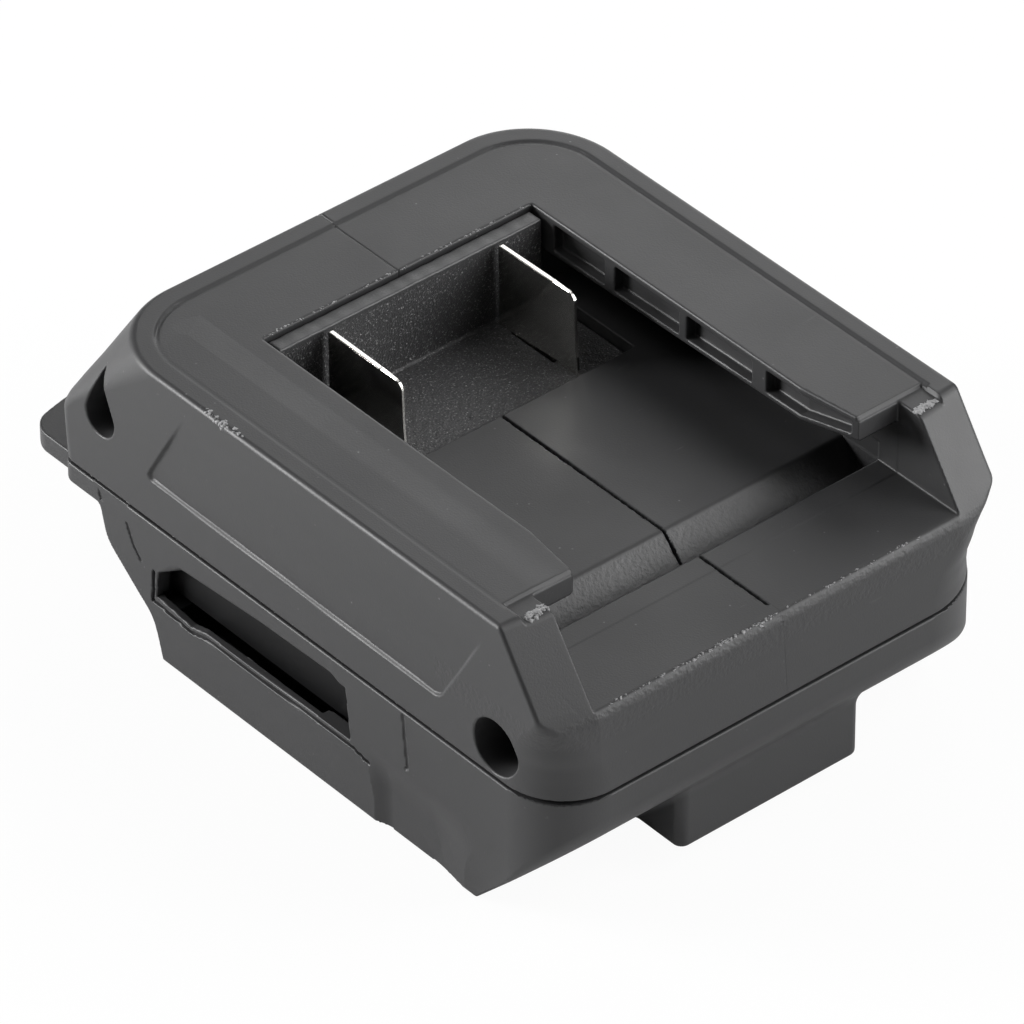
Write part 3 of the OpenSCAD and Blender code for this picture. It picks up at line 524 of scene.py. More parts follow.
def surface_quads(number, inside):
    """A quad round every grid edge that the surface crosses, its face towards the outside."""
    quads = []
    for axis in range(3):
        b, c = (axis + 1) % 3, (axis + 2) % 3
        lower, upper = [slice(1, -1)] * 3, [slice(1, -1)] * 3
        lower[axis], upper[axis] = slice(0, -1), slice(1, None)
        first, second = inside[tuple(lower)], inside[tuple(upper)]
        edge = np.argwhere(first != second)
        leaves = first[tuple(edge.T)]
        edge[:, b] += 1
        edge[:, c] += 1
        ring = []
        for db, dc in ((1, 1), (0, 1), (0, 0), (1, 0)):
            cube = edge.copy()
            cube[:, b] -= db
            cube[:, c] -= dc
            ring.append(number[tuple(cube.T)])
        ring = np.stack(ring, 1)
        ring[~leaves] = ring[~leaves][:, ::-1]
        quads.append(ring)
    return np.concatenate(quads)


def unit(rows):
    """Rows scaled to length 1."""
    return rows / np.maximum(np.linalg.norm(rows, axis=1), 1e-12)[:, None]


def slope(shape, p, reach=0.03):
    """The field's slope at points, from a small step to either side along each axis."""
    parts = []
    for axis in range(3):
        q0, q1 = p.copy(), p.copy()
        q0[:, axis] -= reach
        q1[:, axis] += reach
        parts.append((shape(*q1.T) - shape(*q0.T)) / (2 * reach))
    return np.stack(parts, 1)


def settle(shape, p, step, rounds):
    """Slides points onto the surface: each round moves them by field / slope, along the slope."""
    for _ in range(rounds):
        g = slope(shape, p)
        size = np.maximum((g * g).sum(1), 0.2)
        move = g * (shape(*p.T) / size)[:, None]
        length = np.linalg.norm(move, axis=1)
        p = p - move * np.minimum(1, 0.5 * step / np.maximum(length, 1e-9))[:, None]
    return p


def linked(name, mesh, finish):
    """An object in the scene for a mesh, with its finish."""
    piece = bpy.data.objects.new(name, mesh)
    bpy.context.scene.collection.objects.link(piece)
    mesh.materials.append(finish)
    return piece


def mesh_of(name, points, faces, finish):
    """A mesh object from points in millimetres and rows of point numbers."""
    made = bpy.data.meshes.new(name)
    sides = faces.shape[1]
    made.vertices.add(len(points))
    made.vertices.foreach_set("co", place(points).ravel())
    made.loops.add(faces.size)
    made.loops.foreach_set("vertex_index", faces.ravel().astype(np.int32))
    made.polygons.add(len(faces))
    made.polygons.foreach_set("loop_start", np.arange(len(faces), dtype=np.int32) * sides)
    made.update(calc_edges=True)
    made.validate()
    return linked(name, made, finish)


def flatness(points, quads, normals):
    """1 on points that lie two rings inside a flat face, else 0. A face is flat where a point's
    normal and those of the quads round it are within 0.4 degrees: cosine above FLAT_COSINE."""
    a, b, c, d = (points[quads[:, k]] for k in range(4))
    facing = unit(np.cross(c - a, d - b))
    agree = np.ones(len(points))
    for k in range(4):
        np.minimum.at(agree, quads[:, k], (facing * normals[quads[:, k]]).sum(1))
    flat = (agree > FLAT_COSINE).astype(float)
    for _ in range(2):
        least = flat[quads].min(1)
        for k in range(4):
            np.minimum.at(flat, quads[:, k], least)
    return flat


def thinned(piece, flat, keep):
    """Merges points in the flat faces until the share keep of the triangles is left."""
    group = piece.vertex_groups.new(name="flat")
    group.add(np.flatnonzero(flat > 0.5).tolist(), 1.0, "REPLACE")
    modifier = piece.modifiers.new("thin", "DECIMATE")
    modifier.ratio = keep
    modifier.vertex_group = "flat"
    modifier.vertex_group_factor = 5.0
    graph = bpy.context.evaluated_depsgraph_get()
    old = piece.data
    piece.data = bpy.data.meshes.new_from_object(piece.evaluated_get(graph))
    piece.modifiers.clear()
    piece.vertex_groups.clear()
    piece.data.name = old.name + "_mesh"
    bpy.data.meshes.remove(old)


def values(items, attribute, width=1):
    """An attribute of all items of a mesh as one array, or as rows of a width."""
    array = np.empty(len(items) * width, np.int32 if width == 1 else float)
    items.foreach_get(attribute, array)
    return array if width == 1 else array.reshape(-1, width)


def corner_normals(shape, mesh, step):
    """A normal for every corner of every face: the field's slope at the point. Faces that the
    thinning made long would smear it, so the face's own normal is mixed in, from none at an edge
    of LONG_FROM cubes to all at LONG_TO cubes."""
    spots = values(mesh.vertices, "co", 3)
    exact = unit(slope(shape, spots / MM - SHIFT))
    corners = values(mesh.loops, "vertex_index")
    starts, sizes = values(mesh.polygons, "loop_start"), values(mesh.polygons, "loop_total")
    face = np.repeat(np.arange(len(starts)), sizes)
    facing = values(mesh.polygons, "normal", 3)[face]
    after = np.arange(1, len(corners) + 1)
    after[starts + sizes - 1] = starts
    edge = np.linalg.norm(spots[corners[after]] - spots[corners], axis=1) / MM
    longest = np.maximum.reduceat(edge, starts)[face]
    share = step_up((longest / step - LONG_FROM) / (LONG_TO - LONG_FROM))[:, None]
    return exact[corners] * (1 - share) + facing * share


def moulding(name, shape, low, high, step, finish):
    """A moulded piece: sample its field, make the mesh, thin it and set its normals."""
    points, number, inside = surface_points(sampled(shape, low, high, step), low, step)
    points, quads = settle(shape, points, step, 3), surface_quads(number, inside)
    piece = mesh_of(name, points, quads, finish)
    made = 2 * len(quads)
    if made > MOST_TRIANGLES:
        flat = flatness(points, quads, unit(slope(shape, points)))
        thinned(piece, flat, MOST_TRIANGLES / made)
    piece.data.polygons.foreach_set("use_smooth", np.ones(len(piece.data.polygons), bool))
    piece.data.normals_split_custom_set(corner_normals(shape, piece.data, step).tolist())
    print(name, "made with", made, "triangles, faces kept:", len(piece.data.polygons))
    return piece


print("mesher ready")

# %% [markdown]
# The upper shell is a low box that gets longer towards its foot: the back wall leans out below
# the rounded back corners, and the ends of the two side walls slope down to the front wall. Its
# outline at each height comes from a short table, and straight lines join the heights.

# %% Outline of the upper shell
HEIGHTS = [-26.2, -24, -21, -18.8, -17, -15, -14, -12, -8, -4, 0]
HALF_WIDTH = [41.5] * 8 + [41.48, 41.45, 41.42]
BACK_Y = [25, 25, 25, 25, 25, 24.2, 23.7, 22.8, 20.9, 19.3, 17.7]
BACK_CORNER = [2.6, 2.4, 2.1, 2.0, 2.0, 2.7, 3.4, 4.8, 7.8, 11.1, 14.5]
FRONT_Y = [-82, -81.7, -81.2, -80.9, -80.4, -79.9, -79.6, -78.5, -75.8, -73.1, -70.4]
FRONT_CORNER = [14.4, 14.4, 13.2, 11.0, 9.3, 6.6, 4.7, 0.9, 0.9, 0.85, 0.8]
RAKE = [0, 0.15, 0.35, 0.5, 0.8, 1.13, 1.3, 1.0, 0.93, 0.87, 0.8]
LEFT_SHARPER = 0.7
WALL_IN, WALL_OUT = 33.0, 41.0
PANEL_REAR = ((-2.0, -5.9), (4.2, -16.4))
PANEL_FOOT = ((3.2, -19.3), (-56.9, -19.95))
PANEL_FRONT = ((-58.7, -18.8), (-64.9, -8.4))


def at_height(z, column):
    """A column of the table at height z: straight lines between its rows, whose bends are
    softened by a moving mean over 1.2 mm."""
    fine = np.arange(-27, 1, 0.1)
    soft = np.convolve(np.interp(fine, HEIGHTS, column), np.ones(13) / 13, "same")
    soft[:6], soft[-6:] = column[0], column[-1]
    return np.interp(z, fine, soft)


def side_panel(y, z):
    """How deep the sunk panel in a side wall is: it fades in from the top, and a soft ledge
    0.6 mm wide bounds it at the foot and at both ends."""
    edge = both(both(beyond(y, z, *PANEL_REAR), beyond(y, z, *PANEL_FOOT), 1.6),
                beyond(y, z, *PANEL_FRONT), 1.6)
    return 0.5 * step_up(-edge / 0.6) * step_up((-3.5 - z) / 9)


def upper_outline(x, y, z):
    """Distance to the leaning outer walls, with the corner radius of each height."""
    a = np.abs(x)
    side = a - at_height(z, HALF_WIDTH) + side_panel(y, z)
    tilt = 0.83 + 0.14 * step_up((-9 - z) / 6)
    rake = at_height(z, RAKE) * np.clip((WALL_OUT - a) / (WALL_OUT - WALL_IN), 0, 1)
    front = (at_height(z, FRONT_Y) - rake - y) * tilt
    rear = (y - at_height(z, BACK_Y)) * 0.93
    front_corner = at_height(z, FRONT_CORNER) * np.where(x < 0, LEFT_SHARPER, 1)
    return overlap(both(side, rear, at_height(z, BACK_CORNER)),
                   both(side, front, front_corner))


print("outline at the seam:", float(upper_outline(np.array(0.0), np.array(-82.0), np.array(-26.2))))

# %% [markdown]
# The battery bay is a stack of simple voids: the opening between the rails, the slots under
# the rails, the open front, the latch groove across the floor and the well of the terminal
# block. Joining voids with a radius rounds the plastic edges that are left between them.

# %% Battery bay
FLOOR_Z = -12.9
RAIL_END_Y = -67.4
BEND_Y = -57.0
GROOVE_Y, GROOVE_WALL_Y, GROOVE_Z = -56.3, -63.5, -17.7
WINDOWS = [(-15.7, -4.9), (-31.5, -17.9), (-46.8, -33.2), (-66.0, -49.9)]


def rail_underside(y):
    """Height of the rails' underside: straight from the back to the bend and to the front."""
    return np.interp(y, [RAIL_END_Y, BEND_Y, -2.0], [-4.1, -5.8, -6.9])


def rail_face(y):
    """Half the width between the rails, with a lead-in at the front."""
    return np.interp(y, [RAIL_END_Y, BEND_Y], [25.75, 24.4])


def bay(x, y, z):
    """The battery's space: voids joined so that the edges between them are rounded."""
    a = np.abs(x)
    above_floor = FLOOR_Z - z
    opening = both(both(a - rail_face(y), y, 0.35), above_floor + 4, 0.25)
    slot_height = both(z - rail_underside(y), above_floor, 0.4)
    slots = both(both(a - WALL_IN, y + 2.0, 0.6), slot_height, 0.3)
    front = both(both(a - WALL_IN, y - RAIL_END_Y, 0.3), above_floor, 0.3)
    void = joined(joined(opening, slots, 0.45), front, 0.15)
    sill = rail_underside(y) + 1.0
    for start, end in WINDOWS:
        span = both(a - rail_face(y) - 1.7, between(y, start, end), 0.3)
        void = joined(void, both(span, between(z, sill, -1.3), 0.35), 0.22)
    ramp_face = (FLOOR_Z + y - GROOVE_Y - z) * 0.707
    groove = both(ramp_face, both(GROOVE_WALL_Y - y, GROOVE_Z - z, 0.3), 0.3)
    groove = overlap(groove, a - WALL_IN, z + 10)
    void = joined(void, groove, 0.35)
    well = both(a - 24.4, between(y, -22.0, 0.0), 0.25)
    return joined(void, overlap(well, between(z, -20.0, -7.0)), 0.15)


print("floor of the bay at", FLOOR_Z, "mm,", len(WINDOWS), "recesses in each rail")

# %% [markdown]
# The top face has a plate sunk a hair below the rim round it, where the real mould has an
# insert, with a fine line along the insert's edge. In front of the rails lie small landings,
# half a millimetre lower.

# %% Top face
def top_height(x, y):
    """Height of the top face: 0 on the rim, lower on the plate, with a fine groove round it
    that fades along the left side."""
    a = np.abs(x)
    plate = both(a - 37.9, y - 14.0, 11.0)
    worn = 1 - 0.9 * step_up((-x - 27) / 6) * step_up((12 - y) / 5)
    sunk = -0.2 * worn * step_up(-plate / 0.35)
    line = -0.3 * worn * np.exp(-(plate / 0.26) ** 2)
    landing = overlap(y + 66.9, a - 37.6, 20 - a)
    return sunk + line * (y > -68) - 0.55 * step_up(-landing / 0.5 + 0.5)


print("plate height:", float(top_height(np.array(30.0), np.array(-10.0))))

# %% [markdown]
# Under the floor the shell is hollow, with walls of 2.4 to 3 mm, tubes for the two long screws that
# join the halves, and pillars for the screws that hold the lower shell.

# %% Hollow, tubes and screw holes
SEAM_Z = -26.2
JOINTS = [(-69.5, -21.1, 4.4), (16.3, -13.6, 4.0)]
PILLARS = [(-20, -40), (20, -40), (-30, 11), (30, 11)]
PLATE_PILLARS = [(-29, -11), (29, -11)]
UNDERLAP = 1.0


def rod(u, v, spot, r):
    """Distance to a round rod that crosses the u-v plane at a spot."""
    return np.hypot(u - spot[0], v - spot[1]) - r


def rods(u, v, spots, r):
    """Distance to the nearest of several rods."""
    return union(*(rod(u, v, spot, r) for spot in spots))


def drop(u, v, r, half_angle):
    """Distance to a teardrop with its tip up: a circle, and above it two lines that touch it."""
    s, c = math.sin(half_angle), math.cos(half_angle)
    u = np.abs(u)
    return np.where(v * c > u * s, u * c + v * s, np.hypot(u, v)) - r


def upper_hollow(x, y, z):
    """The space under the bay, in the side walls and behind the bay, less tubes and pillars."""
    a = np.abs(x)
    void = union(overlap(plan_outline(x, y, 38.6, -76.0, -53.9, 11.0, 0.5), z + 20.1),
                 overlap(a - 38.6, between(y, -54.9, 15.0), z + 15.3),
                 overlap(between(a, 35.4, 38.6), between(y, -68.0, 2.9), z + 2.4),
                 overlap(a - 24.4, between(y, 2.4, 14.4), z + 2.4),
                 overlap(a - 35.6, between(y, 14.0, 22.6), z + 18.8))
    for spot in JOINTS:
        tube = overlap(rod(y, z, spot, spot[2] + 1.3), between(x, -41.5, -12.1))
        void = overlap(void, -tube, -overlap(rod(y, z, spot, 3.6), between(x, -14.5, 22.4)))
    return overlap(void, -rods(x, y, PILLARS, 3.6),
                   -overlap(rods(x, y, PLATE_PILLARS, 2.6), -17.3 - z))


def upper_holes(x, y, z):
    """Screw holes: two deep ones in the left side with narrow ends, and pilot holes. The rear
    one runs out into the rounded corner, so its mouth is drawn up to a tip."""
    return union(overlap(rod(y, z, JOINTS[0], 4.4), x + 14.5),
                 overlap(drop(y - 15.6, z + 14.5, 3.1, 0.386), x + 16),
                 overlap(rods(y, z, JOINTS, 1.7), x),
                 overlap(rods(y, z, JOINTS, 1.5), x - 20),
                 overlap(rods(x, y, PILLARS, 1.5), z - SEAM_Z - 5.6),
                 overlap(rods(x, y, PLATE_PILLARS, 0.9), z + 14.3))


def upper_shell(x, y, z):
    """The whole upper shell: outline and top face, less hollow, bay and holes."""
    body = both(upper_outline(x, y, z), z - top_height(x, y), 0.8)
    body = both(body, SEAM_Z - z, 0.2)
    body = overlap(body, -upper_hollow(x, y, z))
    body = without(body, bay(x, y, z), 0.35)
    return without(body, upper_holes(x, y, z), 0.3)


def seam_gap(y, z):
    """How open the seam is, 0 to 1, and half its width: a little wavy on the bay's floor."""
    wave = 0.03 * np.sin(1.9 * y) + 0.025 * np.sin(4.3 * y + 1) + 0.02 * np.sin(8.7 * y + 2)
    is_open = step_up((-20.5 - y) / 0.6) * step_up((y + 78.4) / 0.8) * step_up((z + 18) / 0.8)
    return is_open, is_open * (0.17 + wave)


def upper_left(x, y, z):
    """The half left of the seam. Where the seam is closed, UNDERLAP of it reaches under the
    other half, sunk by 0.04 mm or behind the bay 0.12 mm, so that no light falls through."""
    is_open, gap = seam_gap(y, z)
    sunk = (0.04 + 0.08 * (y > 0)) * step_up((x + 0.3) / 0.25)
    return both(upper_shell(x, y, z) + sunk, x + gap - UNDERLAP * (1 - is_open), 0.06)


def upper_right(x, y, z):
    """The half right of the seam."""
    return both(upper_shell(x, y, z), seam_gap(y, z)[1] - x, 0.06)


STEP = 0.42 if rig.quick() else 0.3
left_half = moulding("left_upper_moulding", upper_left, (-42.2, -83.0, -27.0), (1.8, 26.0, 0.8),
                     STEP, shell_plastic)
right_half = moulding("right_upper_moulding", upper_right, (-0.6, -83.0, -27.0), (42.2, 26.0, 0.8),
                      STEP, shell_plastic)

# %% [markdown]
# At some edges the plastic tore into small pale crumbs: along the front edge of the floor, on
# the back edge of the bay, on the top edge and the foot of the left side, and on the ends of the
# side walls, where gates were broken off. Each crumb is a flat flake with eight faces.

# %% Torn edges
FLAKE = np.array([(0, 2, 4), (2, 1, 4), (1, 3, 4), (3, 0, 4), (2, 0, 5), (1, 2, 5), (3, 1, 5),
                  (0, 3, 5)])


def crumbs(name, lines, seed):
    """Flakes along lines (start, end, how many, longest in mm, width as a share of length): a
    centre at a random share of the line, slid onto the shell, and six tips at plus and minus
    half the length, width and height on the directions e, w = n x e and n."""
    rng = np.random.default_rng(seed)
    centre, along, longest, width = [], [], [], []
    for start, end, count, longest_mm, wide in lines:
        way = np.subtract(end, start)
        centre.append(start + way * rng.random((count, 1)) + rng.normal(0, wide / 2, (count, 3)))
        width.append(np.full(count, wide))
        along.append(np.tile(way / np.linalg.norm(way), (count, 1)))
        longest.append(np.full(count, longest_mm))
    centre = settle(upper_shell, np.concatenate(centre), 0.4, 4)
    count = len(centre)
    n = unit(slope(upper_shell, centre))
    e = np.concatenate(along) + rng.normal(0, 0.45, (count, 3))
    e = unit(e - n * (e * n).sum(1)[:, None])
    size = (np.concatenate(longest) * rng.uniform(0.25, 1.0, count) ** 1.6)[:, None]
    width = np.concatenate(width)[:, None] * rng.uniform(0.5, 1.2, (count, 1))
    half = np.stack([e * size * 0.5, np.cross(n, e) * size * width,
                     n * (0.03 + 0.1 * size * rng.random((count, 1)))], 1)
    signs = np.array([1, -1, 1, -1, 1, -1])[None, :, None]
    uneven = rng.uniform(0.6, 1.2, (count, 6, 1))
    tips = centre[:, None] + half[:, [0, 0, 1, 1, 2, 2]] * signs * uneven
    faces = (FLAKE[None] + 6 * np.arange(count)[:, None, None]).reshape(-1, 3)
    return mesh_of(name, tips.reshape(-1, 3), faces, torn_plastic)


left_crumbs = crumbs("left_torn_edges", [
    ((-30.5, -80.1, -12.95), (-0.4, -80.1, -12.95), 110, 0.9, 0.25),
    ((-16.0, -80.1, -12.95), (-1.0, -80.1, -12.95), 60, 1.3, 0.3),
    ((-36.7, -70.6, -0.6), (-33.1, -70.6, -0.6), 90, 1.5, 0.55),
    ((-24.2, 0.2, -0.25), (-0.4, 0.2, -0.25), 60, 0.7, 0.25),
    ((-40.9, -15.5, -0.3), (-40.9, -6.5, -0.3), 55, 1.2, 0.4),
    ((-41.5, -60.0, -26.2), (-41.5, 20.0, -26.2), 40, 0.6, 0.2)], 5)
right_crumbs = crumbs("right_torn_edges", [
    ((0.4, -80.1, -12.95), (26.0, -80.1, -12.95), 50, 0.8, 0.25),
    ((33.1, -70.6, -0.6), (36.7, -70.6, -0.6), 60, 1.4, 0.55),
    ((0.4, 0.2, -0.25), (24.2, 0.2, -0.25), 60, 0.7, 0.25)], 6)
print("flakes:", [len(c.data.polygons) // len(FLAKE) for c in (left_crumbs, right_crumbs)])

# %% [markdown]
# The lower shell is the deep tray under the seam. Its front slopes back to a small block, a
# flat tongue sticks out behind it, and both sides have a recess for a finger on the release.

# %% Outside of the lower shell
LOW_TOP, LOW_FOOT = -26.8, -50.4
SIDE, FRONT, REAR, FRONT_RADIUS = 41.5, -82.0, 25.0, 14.4


def lower_outside(x, y, z):
    """Deep body, flange with tongue, and the block under the slanted front."""
    a = np.abs(x)
    slant = -beyond(y, z, (FRONT, -33.2), (-65.0, LOW_FOOT))
    foot_end = joined(beyond(y, z, (5.2, -43.6), (3.4, LOW_FOOT)),
                      beyond(y, z, (15.0, -35.6), (5.9, -43.0)), 0.8)
    heel = both(foot_end, beyond(y, z, (16.4, -30.2), (15.0, -35.6)), 1.0)
    deep = both(both(slant, LOW_FOOT - z, 0.25), heel, 0.25)
    corner = FRONT_RADIUS * np.where(x < 0, LEFT_SHARPER, 1)
    drawn_in = 0.25 * step_up((-40 - z) / 8)
    deep = both(deep, plan_outline(x, y, SIDE - drawn_in, FRONT, REAR, corner, 2.4),
                0.3 + 1.4 * step_up((-70 - y) / 6))
    taper = (a - 37.83) * 0.309 + (y - 34.25) * 0.951
    tongue = overlap(both(both(a - 39.9, taper, 3.0), y - 37.0, 3.0), -y)
    flange = union(plan_outline(x, y, SIDE, FRONT, REAR, corner, 2.4), tongue)
    flange = both(both(flange, -30.2 - z, 0.5), z - LOW_TOP, 0.25)
    deep = overlap(deep, z - LOW_TOP)
    body = np.where(y > 10, joined(deep, flange, 0.6), union(deep, flange))
    block = both(plan_outline(x, y, 16.5, -79.1, -66.0, 1.6, 2.0), between(z, -46.75, -34.0), 0.6)
    return joined(body, block, 1.2)


print("foot of the lower shell at", LOW_FOOT, "mm")

# %% [markdown]
# Inside the lower shell a deck closes off the slide channel for the tool. Two deep side bays
# hold the release levers. The finger recess is an opening in the side wall over a thin lip,
# and its upper edge is scooped softly for the fingertip.

# %% Inside of the lower shell
LEVER_BAYS = [(33.4, 39.1, -39.1, 4.6, -40.7, -38.6), (33.4, 40.3, -39.1, 4.6, -40.7, -39.3),
              (33.4, 40.3, -39.1, 1.0, -48.0, -39.8), (33.4, 39.1, -60.0, -41.5, -47.0, -38.6)]
LIP_Y, LIP_Z = [-42.5, -38.6, -6.8, -3.7, 3.9], [-39.7, -38.9, -39.35, -40.1, -39.2]
LIP_FOOT = [(4.4, -35.2), (4.8, -40.4), (-3.7, -41.1), (-6.8, -40.3), (-38.6, -39.8),
            (-42.5, -40.6)]


def lower_hollow(x, y, z):
    """The space above the deck and in the deep side bays: the levers' own, wider behind the
    lip, and a lighter one in front."""
    slant = -beyond(y, z, (-79.6, -32.2), (-72.2, -39.6))
    rear = beyond(y, z, (13.5, -33.9), (6.5, -39.6))
    above_deck = overlap(plan_outline(x, y, 39.1, -79.6, 13.5, 12.0, 1.0), -39.6 - z, slant, rear)
    return union(above_deck, boxes(np.abs(x), y, z, LEVER_BAYS))


def finger_recess(x, y, z):
    """Opening in the side wall: upright front end, slanted back end, an upper edge that drops
    towards the back, and a lower edge that follows the lip."""
    back_end = -beyond(y, z, (3.9, -39.2), (3.4, -34.6))
    ceiling = z - np.interp(y, [-38.6, -19, -1.5, 3.4], [-30.2, -30.7, -31.9, -34.6])
    front_end = beyond(y, z, (-38.6, -38.5), (-37.7, -30.1))
    return overlap(both(back_end, ceiling, 0.6),
                   both(front_end, np.interp(y, LIP_Y, LIP_Z) - z, 0.3), 36.0 - np.abs(x))


def recess_edge(y, z):
    """Radius of the recess's outer edge: soft along the top for the fingertip, else sharp."""
    return 0.15 + 1.3 * step_up((z + 34.5) / 3) * step_up((y + 37) / 3)


def lip_groove(x, y, z):
    """The dark gap under the lip: 0.6 mm wide and 0.75 mm deep."""
    return np.hypot(from_line(y, z, LIP_FOOT), (np.abs(x) - SIDE) * 0.4) - 0.3


def channel(x, y, z):
    """Slide channel for the tool: a wide slot over a narrow neck."""
    a, along = np.abs(x), between(y, -62.0, 18.0)
    wide = both(overlap(a - 31.0, along), between(z, -47.4, -42.0), 0.3)
    return joined(wide, overlap(a - 25.0, along, between(z, -51.4, -46.0)), 0.4)


print("side bays:", len(LEVER_BAYS), "boxes on each side")

# %% [markdown]
# On the deck stand ribs for the lever pins, posts for the springs, pillars for the screws and
# low ridges that centre the upper shell. Boxes that cross the centre plane start at ACROSS, far
# enough on the other side of it for the distance to be that of their outer wall.

# %% Ribs, holes and lines of the lower shell
ACROSS = -99
RIBS_AND_POSTS = [(31.0, 40.1, -41.5, -39.1, -42.0, -34.8), (31.0, 40.1, 4.6, 7.0, -42.0, -34.8),
                  (27.4, 29.4, -23.4, -16.6, -40.6, -29.85)]
RIDGES = [(37.0, 38.4, -60.0, 2.9, -28.8, -25.2), (37.0, 39.2, -60.0, 2.9, -28.8, -26.85),
          (ACROSS, 27.0, -75.8, -74.4, -28.8, -25.2), (ACROSS, 27.0, -79.7, -74.4, -28.8, -26.85),
          (ACROSS, 35.4, 21.0, 22.4, -28.8, -25.2)]
WINDOWS_BELOW = [(30.0, 34.4, -28.5, -11.5, -47.1, -43.1),
                 (ACROSS, 12.7, -59.2, -51.8, -43.0, -38.6)]
SIDE_LINES = [[(10.2, -30.1), (8.9, -33.0), (7.3, -34.9)],
              [(-50.1, -27.6), (-50.6, -33.0), (-51.0, -36.3), (-50.5, -36.7)],
              [(16.4, -27.9), (16.0, -29.1)]]


def lower_inside_parts(x, y, z):
    """Ribs, spring posts with a stub that holds the spring, ridges and pillars."""
    a = np.abs(x)
    stub = overlap(np.hypot(y + 20, z + 32.45) - 1.3, between(a, 28.4, 30.3))
    return union(boxes(a, y, z, RIBS_AND_POSTS + RIDGES), stub,
                 overlap(rods(x, y, PILLARS, 4.5), between(z, -42.0, -26.3)))


def lower_holes(x, y, z):
    """Screw holes with room for the heads, pin holes, hook windows and the contacts' opening."""
    a = np.abs(x)
    return union(overlap(rod(a, z, (34.2, -37.2), 1.27), between(y, -41.5, 7.0)),
                 overlap(rods(x, y, PILLARS, 3.2), z + 33.0), rods(x, y, PILLARS, 1.7),
                 boxes(a, y, z, WINDOWS_BELOW))


def lower_shell(x, y, z):
    """The whole lower shell, with fine parting lines on its sides."""
    over_side = np.abs(x) - SIDE
    dish = 1.1 * (1 - step_up((y + 46.5) / 4.5)) * step_up((y + 66) / 11) * step_up((-37 - z) / 7)
    body = overlap(lower_outside(x, y, z), over_side + dish)
    body = without(body, lower_hollow(x, y, z), 0.2)
    body = union(body, lower_inside_parts(x, y, z))
    body = without(body, finger_recess(x, y, z), recess_edge(y, z))
    body = without(body, channel(x, y, z), 0.3)
    body = without(body, lower_holes(x, y, z), 0.2)
    body = without(body, lip_groove(x, y, z), 0.1)
    line = union(*(from_line(y, z, corners) for corners in SIDE_LINES))
    return without(body, np.hypot(line, over_side) - 0.26, 0.1)


lower_half = moulding("lower_moulding", lower_shell, (-42.2, -83.0, -51.0), (42.2, 38.0, -24.6),
                      STEP, shell_plastic)

# %% [markdown]
# The terminal block fills the well behind the bay's floor. It has a rough floor, a back wall
# and two slits for the blades, and it hangs on a flange under the floor of the bay.

# %% Terminal block
BLADE_X = 15.5


def terminal_block(x, y, z):
    """Floor, flange and back wall, with a slit for the foot of each blade."""
    a = np.abs(x)
    rough = 0.02 * (np.sin(3.1 * x + 1.7 * np.sin(2.3 * y)) + np.sin(2.7 * y + 2 * np.sin(1.9 * x)))
    floor = both(overlap(a - 24.2, between(y, -21.8, -0.2)), between(z, -15.6, -14.7 + rough),
                 0.3)
    flange = overlap(a - 25.7, between(y, -23.5, 1.5), between(z, -17.3, -15.5))
    wavy = 0.06 * np.sin(1.3 * x + np.sin(0.37 * x)) * np.sin(0.71 * x + 1)
    wall = both(overlap(a - 23.8, between(y, -2.9, -0.2 - np.abs(wavy))),
                between(z, -16.0, -1.0 + wavy * 0.6), 0.35)
    body = joined(union(floor, flange), wall, 0.6)
    slit = overlap(np.abs(a - BLADE_X) - 0.45, between(y, -15.65, -6.35))
    return without(body, slit, 0.1)


block_step = 0.4 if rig.quick() else 0.2
block = moulding("terminal_moulding", terminal_block, (-26.4, -24.2, -18.0), (26.4, 2.2, -0.2),
                 block_step, block_plastic)

# %% [markdown]
# Each blade is stamped from strip: flat sides, a rounded leading corner and a thinner leading
# part, coined so that the battery's contact slides on. Its outline is a list of points, carried
# across the thickness in rings that step inwards at the sheared edges.

# %% Blades
COIN_Y = -14.7
HALF_THICK, HALF_COINED = 0.4, 0.25


def arc(centre, r, start, end, count):
    """Points on a circle: centre + r (cos, sin) at evenly spaced angles in degrees."""
    t = np.radians(np.linspace(start, end, count))
    return np.stack([centre[0] + r * np.cos(t), centre[1] + r * np.sin(t)], 1)


